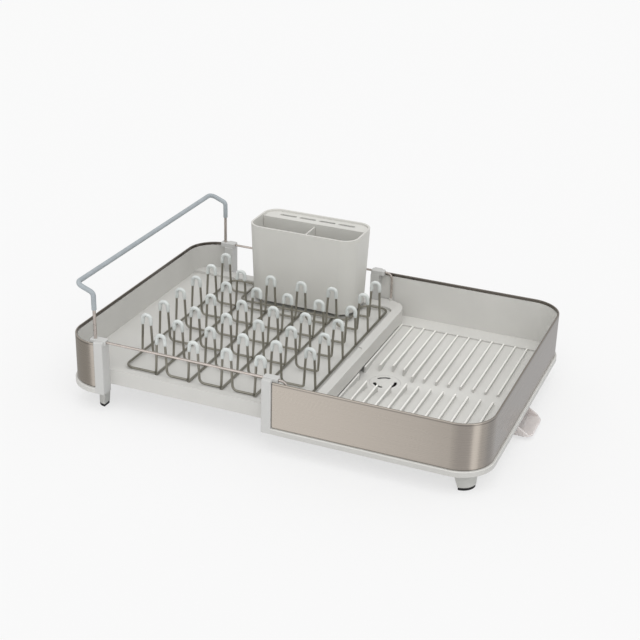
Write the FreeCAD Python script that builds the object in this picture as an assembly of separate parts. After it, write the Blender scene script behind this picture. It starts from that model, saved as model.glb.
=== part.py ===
# Expandable dish rack: a wide drip tray with a swivelling spout, and a narrower tray that slides
# out of its open end and carries a lift-out plate rack, a cutlery holder and a wire handle.
# Frame: +X to the drip tray's closed end, +Y to the rear, +Z up. The origin is on the table, under
# the middle of the box round the extended rack.
import FreeCAD, Part
import math
import os

os.makedirs("parts", exist_ok=True)
V = FreeCAD.Vector

# Plan of the two trays, over the steel
DEPTH = 359.4
OUTER_LENGTH = 262.9
INNER_LENGTH = 315.5
CORNER_RADIUS = 40.0
FLANGE_OUT = 2.3
FLANGE_WALL = 2.4
FLANGE_ROUND = 1.2
PLATE = 2.2

# Steel bands and the moulded walls behind them
STEEL = 0.8
STEEL_LIFT = 0.5
STEEL_HEIGHT = 57.8
STEEL_END_GAP = 0.3
STEEL_END_ROUND = 2.0
HEM_DEPTH = 3.0
WALL_GAP = 0.1
WALL = 1.7

# Heights above the table
FLANGE_BOTTOM = 26.3
SHELF_TOP = 33.0
CAP_SEAT = 89.4
TOP_OF_UPSTAND = 94.3

# Posts at the open ends and the caps on them
POST_WIDTH = 12.0
POST_EDGE = 1.2
OUTER_POST_DEPTH = 13.5
INNER_POST_DEPTH = 14.0
INNER_POST_INSET = 43.6
UPSTAND_DEPTH = 2.9
CAP_DEPTH = 9.6
CAP_HEIGHT = 6.0
CAP_CORNER = 2.4
CAP_EDGE = 0.8
OUTER_CAP_LENGTH = 18.7
OUTER_CAP_OVERHANG = 0.5
INNER_CAP_LENGTH = 20.8
INNER_CAP_OVERHANG = 1.3

# Drip tray floor: a shallow funnel with ribs across it
BASIN_MARGIN_LEFT = 16.2
BASIN_MARGIN_RIGHT = 25.0
BASIN_MARGIN_SIDE = 30.0
BASIN_RIM_DROP = 2.2
CHANNEL_HALF = 10.3
CHANNEL_LEFT_DROP = 4.5
CHANNEL_DRAIN_DROP = 6.6
CHANNEL_RIGHT_DROP = 3.0
RIB_PITCH = 15.6
RIBS_LEFT_OF_DRAIN = 4
RIBS_RIGHT_OF_DRAIN = 9
RIB_WIDTH = 2.3
RIB_TOP = 33.8
RIB_CLEAR_RADIUS = 28.5
LIP_TOP = 33.8

# Drain, its strainer and the spout that turns about it
DRAIN_INSET = 178.2
DRAIN_DROP = 10.0
DRAIN_RADIUS = 22.0
DRAIN_CONE_SLOPE = 0.165
BOSS_RADIUS = 20.0
BOSS_WALL = 3.0
BOSS_BOTTOM = 13.5
STRAINER_RADIUS = 19.2
STRAINER_PLATE = 1.4
STRAINER_GAP = 0.2
STRAINER_SKIRT = 1.5
STRAINER_SKIRT_DROP = 4.5
SLOT_RADIUS = 13.0
SLOT_WIDTH = 4.0
SLOT_SWEEP = 60.0
SLOT_CENTRES = (-7.0, 117.0, -122.0)
SPOUT_HALF_WIDTH = 27.0
SPOUT_WALL = 2.0
SPOUT_BOTTOM = 5.3
SPOUT_TOP = 18.5
SPOUT_PAST = 15.8
SPOUT_TIP_RADIUS = 10.0
SPOUT_TAPER = 20.5
SPOUT_LIP_RISE = 0.7
SPOUT_BORE_GAP = 0.1
RETAINER_WIDTH = 3.0
RETAINER_HEIGHT = 2.4
RETAINER_GAP = 0.3
RETAINER_FIT = 0.02

# Sliding tray
INNER_SIDE_INSET = 14.0
WIDE_END = 41.2
WIDE_INSET = 4.6
WIDE_CORNER = 33.5
STOP_GAP = 0.5
END_GAP = 1.9
DECK_TOP = 54.0
FLOOR_TOP = 50.0
LEDGE_TOP = 55.5
LEDGE_WIDTH = 12.0
SKIRT_BOTTOM = 34.5
LEDGE_WALL_BOTTOM = 36.5
RELIEF_MARGIN = 5.0
RECESS_FRONT_INSET = 23.5
RECESS_REAR_INSET = 30.0
RECESS_CORNER = 14.0
PILL_LENGTH = 36.0
PILL_WIDTH = 6.5
GLIDE_GAP = 0.3
GLIDE_LENGTH = 12.0
GLIDE_WIDTH = 4.0
NUB_RADIUS = 2.4
NUB_HEIGHT = 3.0
NUB_EDGE = 0.1

# Rails and handle
RAIL_DIAMETER = 3.0
RAIL_INSET = 6.7
RAIL_DROP = 2.8
RAIL_BEND = 8.0
RAIL_FROM_SHOULDER = 15.7
RAIL_RUNNING_GAP = 0.4
PLUG_GAP = 0.05
PLUG_DEPTH = 11.0
HANDLE_DIAMETER = 4.0
HANDLE_INSET_X = 41.7
HANDLE_INSET_Y = 7.5
HANDLE_RISE_TOP = 153.3
HANDLE_REACH = 22.5
HANDLE_BAR_Z = 162.0
HANDLE_KNEE_BEND = 6.0
HANDLE_BEND = 8.0
SLEEVE_DIAMETER = 6.0
SLEEVE_BOTTOM = 131.5

# Feet: quarter-round legs that face the corners, with rubber pads
OUTER_FOOT_INSET = 15.6
OUTER_FOOT_RADII = (16.6, 24.6)
INNER_FOOT_INSET_X = 45.6
INNER_FOOT_INSET_Y = 14.2
INNER_FOOT_RADII = (12.4, 13.6)
PAD_HEIGHT = 3.4
PAD_MARGIN = 0.4

# Plate rack: hairpin rows of wire welded on rails
RACK_WIRE = 3.0
WELD_SET = 0.9
RACK_SEAT_GAP = 0.3
RACK_PITCH = 43.2
RACK_LEFT_INSET = 66.6
RACK_FRONT_INSET = 29.2
RACK_REAR_INSET = 36.7
RACK_RIGHT_GAP = 4.0
ROW_GAP = 6.0
PRONG_WIDTH = 15.0
PRONG_TIP_WIDTH = 10.0
PRONG_TOP_ROUND = 4.8
PRONG_TOP = 106.9
PRONG_RIGHT_BEND = 6.5
PRONG_LEFT_BEND = 3.0
FRAME_BEND = 12.0
FRAME_END_Y = 22.0
RAIL_WIRE_OVERHANG = 1.5
NOTCH_GAP_LEFT = 7.0
NOTCH_GAP_RIGHT = 2.5
NOTCH_GAP_FRONT = 6.0
TIP_DIAMETER = 4.8
TIP_LENGTH = 15.0
TIP_GAP = 0.05

# Cutlery holder
CUP_PAST_OPEN_END = 2.2
CUP_LENGTH = 152.0
CUP_REAR_INSET = 12.5
CUP_DEPTH = 75.5
CUP_TOP = 160.5
CUP_BOTTOM = 55.6
CUP_WALL = 2.6
CUP_RADIUS = 20.0
CUP_TAPER_X = 4.0
CUP_TAPER_Y = 2.5
CUP_FOOT_RADIUS = 4.0
CUP_FOOT_INSET = 24.0
CUP_FRONT_FOOT_Y = 12.0
CUP_REAR_FOOT_Y = 8.0
DIVIDER = 2.0
DIVIDER_DROP = 6.0
DIVIDER_SHIFT = 2.0
GUARD_DEPTH = 25.0
GUARD_PLATE = 2.4
GUARD_DROP = 2.5
GUARD_SLOTS = 4
GUARD_SLOT_LENGTH = 24.0
GUARD_SLOT_WIDTH = 5.0
CUP_FIT = 0.2

# Places worked out from the sizes above
HALF = DEPTH / 2
STEEL_LENGTH = OUTER_LENGTH - POST_WIDTH - STOP_GAP - WIDE_END + INNER_LENGTH
RIGHT_X = (STEEL_LENGTH + FLANGE_OUT - SPOUT_PAST) / 2
LEFT_X = RIGHT_X - STEEL_LENGTH
OPEN_X = RIGHT_X - OUTER_LENGTH
SHOULDER_X = OPEN_X + POST_WIDTH + STOP_GAP
LEDGE_X = SHOULDER_X + WIDE_END
INNER_POST_X = LEFT_X + INNER_POST_INSET
SHELF_UNDER = SHELF_TOP - PLATE
STEEL_BOTTOM = SHELF_TOP + STEEL_LIFT
STEEL_TOP = STEEL_BOTTOM + STEEL_HEIGHT
WALL_OUTSIDE = STEEL + WALL_GAP
WALL_INSIDE = WALL_OUTSIDE + WALL
WALL_TOP = STEEL_TOP - STEEL - WALL_GAP
HEM_BOTTOM = STEEL_TOP - STEEL - HEM_DEPTH
TRAVEL = RIGHT_X - WALL_INSIDE - END_GAP - LEDGE_X
DRAIN_X = RIGHT_X - DRAIN_INSET
DRAIN_Z = SHELF_TOP - DRAIN_DROP
CAP_TOP = CAP_SEAT + CAP_HEIGHT
RAIL_Y = -HALF + RAIL_INSET
RAIL_Z = CAP_TOP - RAIL_DROP
RAIL_DOWN_X = SHOULDER_X + RAIL_FROM_SHOULDER


def box(x0, x1, y0, y1, z0, z1):
    """Block between two corners."""
    return Part.makeBox(x1 - x0, y1 - y0, z1 - z0, V(x0, y0, z0))


def closed_wire(edges):
    """Wire from curves given in order."""
    return Part.Wire([edge.toShape() for edge in edges])


def d_block(x_open, x_closed, half, radius, z0, z1):
    """Plan like a letter D: square at the open end, two rounded corners at the closed end."""
    side = 1 if x_closed > x_open else -1
    corner_x = x_closed - side * radius
    corner_y = half - radius
    on_arc = radius * math.sqrt(0.5)
    start = V(x_open, -half, z0)
    front = V(corner_x, -half, z0)
    front_end = V(x_closed, -corner_y, z0)
    rear_end = V(x_closed, corner_y, z0)
    rear = V(corner_x, half, z0)
    stop = V(x_open, half, z0)
    front_mid = V(corner_x + side * on_arc, -corner_y - on_arc, z0)
    rear_mid = V(corner_x + side * on_arc, corner_y + on_arc, z0)
    outline = closed_wire([
        Part.LineSegment(start, front),
        Part.Arc(front, front_mid, front_end),
        Part.LineSegment(front_end, rear_end),
        Part.Arc(rear_end, rear_mid, rear),
        Part.LineSegment(rear, stop),
        Part.LineSegment(stop, start),
    ])
    return Part.Face(outline).extrude(V(0, 0, z1 - z0))


def outer_plan(inset, z0, z1, x_open=OPEN_X):
    """Drip tray's plan, drawn in from the steel by inset."""
    return d_block(x_open, RIGHT_X - inset, HALF - inset, CORNER_RADIUS - inset, z0, z1)


def inner_plan(inset, z0, z1, x_open=INNER_POST_X):
    """Plan of the sliding tray's steel end, drawn in from the steel by inset."""
    return d_block(x_open, LEFT_X + inset, HALF - inset, CORNER_RADIUS - inset, z0, z1)


def wide_plan(inset, z0, z1, x_open=SHOULDER_X):
    """Plan of the sliding tray's wide end, drawn in by inset."""
    return d_block(x_open, LEDGE_X - inset, HALF - WIDE_INSET - inset, WIDE_CORNER - inset, z0, z1)


def rounded_wire(x0, x1, y0, y1, radius, z):
    """Rectangle with four round corners, at one height."""
    on_arc = radius * (1 - math.sqrt(0.5))
    return closed_wire([
        Part.LineSegment(V(x0 + radius, y0, z), V(x1 - radius, y0, z)),
        Part.Arc(V(x1 - radius, y0, z), V(x1 - on_arc, y0 + on_arc, z), V(x1, y0 + radius, z)),
        Part.LineSegment(V(x1, y0 + radius, z), V(x1, y1 - radius, z)),
        Part.Arc(V(x1, y1 - radius, z), V(x1 - on_arc, y1 - on_arc, z), V(x1 - radius, y1, z)),
        Part.LineSegment(V(x1 - radius, y1, z), V(x0 + radius, y1, z)),
        Part.Arc(V(x0 + radius, y1, z), V(x0 + on_arc, y1 - on_arc, z), V(x0, y1 - radius, z)),
        Part.LineSegment(V(x0, y1 - radius, z), V(x0, y0 + radius, z)),
        Part.Arc(V(x0, y0 + radius, z), V(x0 + on_arc, y0 + on_arc, z), V(x0 + radius, y0, z)),
    ])


def rounded_block(x0, x1, y0, y1, radius, z0, z1):
    """Block with four round upright edges."""
    return Part.Face(rounded_wire(x0, x1, y0, y1, radius, z0)).extrude(V(0, 0, z1 - z0))


def stadium_block(x0, x1, y0, y1, z0, z1):
    """Block whose plan is a slot with two half-round ends, along its longer side."""
    radius = min(x1 - x0, y1 - y0) / 2
    start = V(x0 + radius, y0 + radius, z0)
    if x1 - x0 > y1 - y0:
        stop = V(x1 - radius, y0 + radius, z0)
        side = V(0, radius, 0)
    else:
        stop = V(x0 + radius, y1 - radius, z0)
        side = V(-radius, 0, 0)
    along = V(stop.sub(start))
    along.normalize()
    cap_reach = along * radius
    outline = closed_wire([
        Part.LineSegment(start.sub(side), stop.sub(side)),
        Part.Arc(stop.sub(side), stop.add(cap_reach), stop.add(side)),
        Part.LineSegment(stop.add(side), start.add(side)),
        Part.Arc(start.add(side), start.sub(cap_reach), start.sub(side)),
    ])
    return Part.Face(outline).extrude(V(0, 0, z1 - z0))


def profile_block(points, x0, x1):
    """Straight-sided outline in the YZ plane, carried along X."""
    corners = [V(x0, y, z) for y, z in points]
    return Part.Face(Part.makePolygon(corners + corners[:1])).extrude(V(x1 - x0, 0, 0))


def side_profile_block(points, y0, y1):
    """Straight-sided outline in the XZ plane, carried along Y."""
    corners = [V(x, y0, z) for x, z in points]
    return Part.Face(Part.makePolygon(corners + corners[:1])).extrude(V(0, y1 - y0, 0))


def bent_path(points, bends):
    """Straight runs joined by tangent arcs, one bend radius for each point between the ends."""
    corners = [V(*point) for point in points]
    edges = []
    start = corners[0]
    for before, corner, after, bend in zip(corners, corners[1:], corners[2:], bends):
        back = V(before.sub(corner))
        back.normalize()
        ahead = V(after.sub(corner))
        ahead.normalize()
        half_turn = (math.pi - back.getAngle(ahead)) / 2
        tangent = bend * math.tan(half_turn)
        middle = V(back.add(ahead))
        middle.normalize()
        arc_start = corner.add(back * tangent)
        arc_stop = corner.add(ahead * tangent)
        arc_middle = corner.add(middle * (bend / math.cos(half_turn) - bend))
        edges.append(Part.LineSegment(start, arc_start).toShape())
        edges.append(Part.Arc(arc_start, arc_middle, arc_stop).toShape())
        start = arc_stop
    edges.append(Part.LineSegment(start, corners[-1]).toShape())
    return Part.Wire(edges)


def rod(points, bends, diameter):
    """Round wire bent along a path."""
    first = V(*points[0])
    heading = V(*points[1]).sub(first)
    section = Part.Wire([Part.makeCircle(diameter / 2, first, heading)])
    return bent_path(points, bends).makePipeShell([section], True, False)


def round_edges(shape, radius, wanted):
    """Round the edges that the test picks."""
    return shape.makeFillet(radius, [edge for edge in shape.Edges if wanted(edge)])


def upright(edge):
    """True for an edge that runs straight up."""
    low = edge.BoundBox
    return low.XLength < 1e-6 and low.YLength < 1e-6


def at_height(edge, z):
    """True for an edge that lies level at one height."""
    return abs(edge.BoundBox.ZMin - z) < 1e-6 and abs(edge.BoundBox.ZMax - z) < 1e-6


def rear_of(shape):
    """The same piece at the rear."""
    return shape.mirror(V(0, 0, 0), V(0, 1, 0))


def save(name, shape):
    """Write one node and print what it holds."""
    if len(shape.Solids) == 1:
        shape = shape.Solids[0]
    shape.exportStep(os.path.join("parts", name + ".step"))
    state = "ok" if shape.isValid() else "INVALID"
    print(f"{name}: {len(shape.Solids)} solid(s), {shape.Volume:.0f} mm3, {state}")


def save_pair(name, shape):
    """Write a front piece and its mirrored rear one."""
    save(name + "_front", shape)
    save(name + "_rear", rear_of(shape))


# Steel bands
def steel_band(plan, x_end, towards):
    """Bent sheet with its top folded inwards and down; plan is the tray's outline function."""
    past = x_end - towards
    sheet = plan(0, STEEL_BOTTOM, STEEL_TOP, x_end).cut(plan(STEEL, STEEL_BOTTOM, STEEL_TOP, past))
    sheet = round_edges(sheet, STEEL_END_ROUND, lambda edge: (
        edge.BoundBox.XLength < 1e-6 and at_height(edge, STEEL_BOTTOM)
        and abs(edge.BoundBox.XMin - x_end) < 1e-6))
    fold = plan(0, STEEL_TOP - STEEL, STEEL_TOP, x_end)
    fold = fold.cut(plan(WALL_INSIDE, STEEL_TOP - STEEL, STEEL_TOP, past))
    lip = plan(WALL_INSIDE - STEEL, HEM_BOTTOM, STEEL_TOP, x_end)
    lip = lip.cut(plan(WALL_INSIDE, HEM_BOTTOM, STEEL_TOP, past))
    return sheet.fuse([fold, lip]).removeSplitter()


def backing_wall(plan, towards):
    """Moulded wall behind the steel, thinned at the top where the hem laps over it."""
    start, past = (OPEN_X, OPEN_X - 1) if towards > 0 else (INNER_POST_X, INNER_POST_X + 1)
    wall = plan(WALL_OUTSIDE, SHELF_UNDER, WALL_TOP, start)
    wall = wall.cut(plan(WALL_INSIDE, SHELF_UNDER, WALL_TOP, past))
    hem_room = plan(WALL_INSIDE - STEEL - WALL_GAP, HEM_BOTTOM - WALL_GAP, STEEL_TOP, past)
    return wall.cut(hem_room)


def flange(plan, start, towards):
    """Base ledge that stands out under the steel, with its skirt."""
    past = start - towards
    ledge = plan(-FLANGE_OUT, SHELF_UNDER, SHELF_TOP, start)
    ledge = round_edges(ledge, FLANGE_ROUND, lambda edge: (
        at_height(edge, SHELF_TOP) and abs(edge.CenterOfMass.x - start) > 1))
    skirt = plan(-FLANGE_OUT, FLANGE_BOTTOM, SHELF_UNDER, start)
    skirt = skirt.cut(plan(FLANGE_WALL - FLANGE_OUT, FLANGE_BOTTOM, SHELF_UNDER, past))
    return ledge.fuse(skirt)


save("outer_steel_band", steel_band(outer_plan, OPEN_X + POST_WIDTH + STEEL_END_GAP, 1))
save("inner_steel_band", steel_band(inner_plan, INNER_POST_X - STEEL_END_GAP, -1))

# Drip tray
BASIN_X0 = OPEN_X + BASIN_MARGIN_LEFT
BASIN_X1 = RIGHT_X - BASIN_MARGIN_RIGHT
BASIN_HALF = HALF - BASIN_MARGIN_SIDE


def basin(grow, top):
    """Hollow of the funnel floor, filled up to top; grow moves its sides out and its floor down."""
    x0 = BASIN_X0 - grow
    x1 = BASIN_X1 + grow
    half = BASIN_HALF + grow
    rim = SHELF_TOP - BASIN_RIM_DROP - grow
    left = SHELF_TOP - CHANNEL_LEFT_DROP - grow
    low = SHELF_TOP - CHANNEL_DRAIN_DROP - grow
    right = SHELF_TOP - CHANNEL_RIGHT_DROP - grow
    faces = [[V(x0, -half, top), V(x1, -half, top), V(x1, half, top), V(x0, half, top)]]
    for x, end in ((x0, left), (x1, right)):
        faces.append([V(x, -half, top), V(x, -half, rim), V(x, -CHANNEL_HALF, end),
                      V(x, CHANNEL_HALF, end), V(x, half, rim), V(x, half, top)])
    for side in (-1, 1):
        near_left = V(x0, side * half, rim)
        near_right = V(x1, side * half, rim)
        mid_left = V(x0, side * CHANNEL_HALF, left)
        mid_low = V(DRAIN_X, side * CHANNEL_HALF, low)
        mid_right = V(x1, side * CHANNEL_HALF, right)
        faces.append([near_left, near_right, V(x1, side * half, top), V(x0, side * half, top)])
        faces.append([near_left, mid_left, mid_low])
        faces.append([near_left, mid_low, near_right])
        faces.append([near_right, mid_low, mid_right])
    for x, end in ((x0, left), (x1, right)):
        faces.append([V(x, -CHANNEL_HALF, end), V(DRAIN_X, -CHANNEL_HALF, low),
                      V(DRAIN_X, CHANNEL_HALF, low), V(x, CHANNEL_HALF, end)])
    shell = Part.Shell([Part.Face(Part.makePolygon(ring + ring[:1])) for ring in faces])
    hollow = Part.Solid(shell)
    if hollow.Volume < 0:
        hollow.reverse()
    bottom = DRAIN_Z - grow
    rise = top - bottom
    cone = Part.makeCone(DRAIN_RADIUS, DRAIN_RADIUS + rise / DRAIN_CONE_SLOPE, rise,
                         V(DRAIN_X, 0, bottom))
    cone = cone.common(box(x0, x1, -half, half, bottom, top))
    return hollow.fuse(cone)


def rib(x):
    """Round-topped bar across the basin."""
    half_width = RIB_WIDTH / 2
    low = DRAIN_Z - PLATE
    shoulder = RIB_TOP - half_width
    outline = closed_wire([
        Part.LineSegment(V(x - half_width, -BASIN_HALF, low), V(x + half_width, -BASIN_HALF, low)),
        Part.LineSegment(V(x + half_width, -BASIN_HALF, low), V(x + half_width, -BASIN_HALF, shoulder)),
        Part.Arc(V(x + half_width, -BASIN_HALF, shoulder), V(x, -BASIN_HALF, RIB_TOP),
                 V(x - half_width, -BASIN_HALF, shoulder)),
        Part.LineSegment(V(x - half_width, -BASIN_HALF, shoulder), V(x - half_width, -BASIN_HALF, low)),
    ])
    return Part.Face(outline).extrude(V(0, 2 * BASIN_HALF, 0))


def post_room(x0, depth):
    """Space that a post takes out of a tray's front corner."""
    return box(x0, x0 + POST_WIDTH, -HALF - FLANGE_OUT - 1, -HALF + depth, FLANGE_BOTTOM - 1, STEEL_TOP + 1)


over = RIB_TOP + 1
ribs = [rib(DRAIN_X + RIB_PITCH * step) for step in range(-RIBS_LEFT_OF_DRAIN, RIBS_RIGHT_OF_DRAIN + 1)]
ribs = Part.makeCompound(ribs).common(basin(PLATE, over))
ribs = ribs.cut(box(OPEN_X, RIGHT_X, -CHANNEL_HALF, CHANNEL_HALF, 0, over))
ribs = ribs.cut(Part.makeCylinder(RIB_CLEAR_RADIUS, over, V(DRAIN_X, 0, 0)))
lip_half = HALF - OUTER_POST_DEPTH
end_lip = box(OPEN_X, OPEN_X + PLATE, -lip_half, lip_half, FLANGE_BOTTOM, LIP_TOP)
boss = Part.makeCylinder(BOSS_RADIUS, DRAIN_Z - BOSS_BOTTOM - PLATE / 2, V(DRAIN_X, 0, BOSS_BOTTOM))
outer_tray = flange(outer_plan, OPEN_X, 1)
outer_tray = outer_tray.fuse([backing_wall(outer_plan, 1), end_lip, basin(PLATE, SHELF_TOP)])
outer_tray = outer_tray.cut(basin(0, over)).fuse([ribs, boss])
outer_room = post_room(OPEN_X, OUTER_POST_DEPTH)
strainer_seat = V(DRAIN_X, 0, DRAIN_Z - STRAINER_PLATE)
pocket = Part.makeCylinder(STRAINER_RADIUS + STRAINER_GAP, DRAIN_DROP, strainer_seat)
bore = Part.makeCylinder(BOSS_RADIUS - BOSS_WALL, SHELF_TOP, V(DRAIN_X, 0, 0))
outer_tray = outer_tray.cut([outer_room, rear_of(outer_room), pocket, bore]).removeSplitter()
save("outer_tray", outer_tray)


# Strainer clipped into the drain
def arc_slot(middle):
    """Slot with round ends that follows a circle about the drain."""
    first = math.radians(middle - SLOT_SWEEP / 2)
    last = math.radians(middle + SLOT_SWEEP / 2)
    end_angle = SLOT_WIDTH / 2 / SLOT_RADIUS

    def at(radius, angle):
        return V(DRAIN_X + radius * math.cos(angle), radius * math.sin(angle), 0)

    inner = SLOT_RADIUS - SLOT_WIDTH / 2
    outer = SLOT_RADIUS + SLOT_WIDTH / 2
    centre = (first + last) / 2
    outline = closed_wire([
        Part.Arc(at(outer, first), at(outer, centre), at(outer, last)),
        Part.Arc(at(outer, last), at(SLOT_RADIUS, last + end_angle), at(inner, last)),
        Part.Arc(at(inner, last), at(inner, centre), at(inner, first)),
        Part.Arc(at(inner, first), at(SLOT_RADIUS, first - end_angle), at(outer, first)),
    ])
    return Part.Face(outline).extrude(V(0, 0, 2 * DRAIN_Z))


strainer = Part.makeCylinder(STRAINER_RADIUS, STRAINER_PLATE, strainer_seat)
clip_radius = BOSS_RADIUS - BOSS_WALL - STRAINER_GAP
clip_seat = V(DRAIN_X, 0, DRAIN_Z - STRAINER_PLATE - STRAINER_SKIRT_DROP)
clip = Part.makeCylinder(clip_radius, STRAINER_SKIRT_DROP, clip_seat)
clip = clip.cut(Part.makeCylinder(clip_radius - STRAINER_SKIRT, STRAINER_SKIRT_DROP, clip_seat))
strainer = strainer.fuse(clip).cut([arc_slot(middle) for middle in SLOT_CENTRES])
save("drain_strainer", strainer.removeSplitter())

# Spout and the ring that holds it up on the drain's boss
spout_x1 = RIGHT_X + SPOUT_PAST
hub = Part.makeCylinder(SPOUT_HALF_WIDTH, SPOUT_TOP - SPOUT_BOTTOM, V(DRAIN_X, 0, SPOUT_BOTTOM))
trough = rounded_block(DRAIN_X - SPOUT_TIP_RADIUS, spout_x1, -SPOUT_HALF_WIDTH, SPOUT_HALF_WIDTH,
                       SPOUT_TIP_RADIUS, SPOUT_BOTTOM, SPOUT_TOP)
trough = trough.common(box(DRAIN_X, spout_x1, -HALF, HALF, 0, SPOUT_TOP))
hollow_half = SPOUT_HALF_WIDTH - SPOUT_WALL
under_top = SPOUT_TOP - SPOUT_WALL
above_floor = SPOUT_BOTTOM + SPOUT_WALL
hub_hollow = Part.makeCylinder(hollow_half, under_top - above_floor, V(DRAIN_X, 0, above_floor))
trough_hollow = box(DRAIN_X, spout_x1 + 1, -hollow_half, hollow_half, above_floor, under_top)
mouth_x = DRAIN_X + SPOUT_HALF_WIDTH
trough_mouth = box(mouth_x, spout_x1 + 1, -hollow_half, hollow_half, above_floor, SPOUT_TOP + 1)
spout_bore = Part.makeCylinder(BOSS_RADIUS + SPOUT_BORE_GAP, SPOUT_TOP, V(DRAIN_X, 0, above_floor))
taper_x = spout_x1 - SPOUT_TAPER
taper = side_profile_block([
    (taper_x, SPOUT_TOP + 1), (taper_x, SPOUT_TOP), (spout_x1 - SPOUT_WALL, above_floor),
    (spout_x1 + 1, SPOUT_BOTTOM + SPOUT_LIP_RISE), (spout_x1 + 1, SPOUT_TOP + 1)], -HALF, HALF)
spout = hub.fuse(trough).cut([hub_hollow, trough_hollow, trough_mouth, spout_bore, taper])
save("spout", spout.removeSplitter())
retainer_z = under_top - RETAINER_GAP - RETAINER_HEIGHT
retainer = Part.makeCylinder(BOSS_RADIUS + RETAINER_WIDTH, RETAINER_HEIGHT, V(DRAIN_X, 0, retainer_z))
retainer_bore = Part.makeCylinder(BOSS_RADIUS + RETAINER_FIT, RETAINER_HEIGHT, V(DRAIN_X, 0, retainer_z))
save("spout_retainer", retainer.cut(retainer_bore))

# Posts
front = -HALF


def post(x0, depth, free_x):
    """Upright end piece, flush with the flange, with a thin upstand in front of its cap."""
    y0 = front - FLANGE_OUT
    x1 = x0 + POST_WIDTH
    base = box(x0, x1, y0, front + depth, FLANGE_BOTTOM, SHELF_TOP)
    base = round_edges(base, POST_EDGE, lambda edge: (
        upright(edge) and abs(edge.BoundBox.YMin - y0) < 1e-6 and abs(edge.BoundBox.XMin - free_x) < 1e-6))
    column = profile_block([
        (y0, SHELF_TOP), (y0, TOP_OF_UPSTAND), (front + UPSTAND_DEPTH, TOP_OF_UPSTAND),
        (front + UPSTAND_DEPTH, CAP_SEAT), (front + depth, CAP_SEAT), (front + depth, SHELF_TOP)], x0, x1)
    column = round_edges(column, POST_EDGE, lambda edge: (
        (upright(edge) or at_height(edge, TOP_OF_UPSTAND))
        and edge.BoundBox.YMax < front
        or at_height(edge, TOP_OF_UPSTAND) and edge.BoundBox.YLength > 1))
    return base.fuse(column).removeSplitter()


outer_post = post(OPEN_X, OUTER_POST_DEPTH, OPEN_X)
save_pair("outer_post", outer_post)
inner_post = post(INNER_POST_X, INNER_POST_DEPTH, INNER_POST_X + POST_WIDTH)
save_pair("inner_post", inner_post)


# Caps on the posts
def cap(x0, length):
    """Rounded block that sits on a post behind its upstand."""
    y0 = front + UPSTAND_DEPTH
    block = rounded_block(x0, x0 + length, y0, y0 + CAP_DEPTH, CAP_CORNER, CAP_SEAT, CAP_TOP)
    return round_edges(block, CAP_EDGE, lambda edge: at_height(edge, CAP_TOP))


def bore_x(diameter, x0, x1):
    """Round hole along X on the rail's line."""
    return Part.makeCylinder(diameter / 2, x1 - x0, V(x0, RAIL_Y, RAIL_Z), V(1, 0, 0))


outer_cap_x = OPEN_X - OUTER_CAP_OVERHANG
outer_cap = cap(outer_cap_x, OUTER_CAP_LENGTH)
running_diameter = RAIL_DIAMETER + 2 * RAIL_RUNNING_GAP
running_bore = bore_x(running_diameter, outer_cap_x - 1, outer_cap_x + OUTER_CAP_LENGTH + 1)
save_pair("outer_cap", outer_cap.cut(running_bore))
inner_cap_x1 = INNER_POST_X + POST_WIDTH + INNER_CAP_OVERHANG
inner_cap_x0 = inner_cap_x1 - INNER_CAP_LENGTH
rail_start_x = inner_cap_x1 - PLUG_DEPTH
handle_x = LEFT_X + HANDLE_INSET_X
handle_y = -HALF + HANDLE_INSET_Y
handle_z0 = CAP_SEAT + 1
rail_socket = bore_x(RAIL_DIAMETER + 2 * PLUG_GAP, rail_start_x, inner_cap_x1 + 1)
handle_foot = V(handle_x, handle_y, handle_z0)
handle_socket = Part.makeCylinder(HANDLE_DIAMETER / 2 + PLUG_GAP, CAP_HEIGHT, handle_foot)
inner_cap = cap(inner_cap_x0, INNER_CAP_LENGTH).cut([rail_socket, handle_socket])
save_pair("inner_cap", inner_cap)

# Sliding tray
side_half = HALF - INNER_SIDE_INSET
recess_x1 = LEDGE_X - LEDGE_WIDTH
recess_y0 = -HALF + RECESS_FRONT_INSET
recess_y1 = HALF - RECESS_REAR_INSET


def recess(grow, z0, z1):
    """Sunk floor of the sliding tray: square at the steel end, round corners at the ledge."""
    plan = rounded_block(LEFT_X, recess_x1 + grow, recess_y0 - grow, recess_y1 + grow,
                         RECESS_CORNER + grow, z0, z1)
    end = box(LEFT_X, INNER_POST_X, recess_y0 - grow, recess_y1 + grow, z0, z1)
    return plan.fuse(end).common(inner_plan(WALL_INSIDE, z0, z1, LEDGE_X))


def pill(grow, z0, z1):
    """Drain recess in the ledge, on the edge of the sunk floor."""
    half_length = PILL_LENGTH / 2 + grow
    return stadium_block(recess_x1 - PILL_WIDTH - grow, recess_x1 + PILL_WIDTH + grow,
                         -half_length, half_length, z0, z1)


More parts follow.
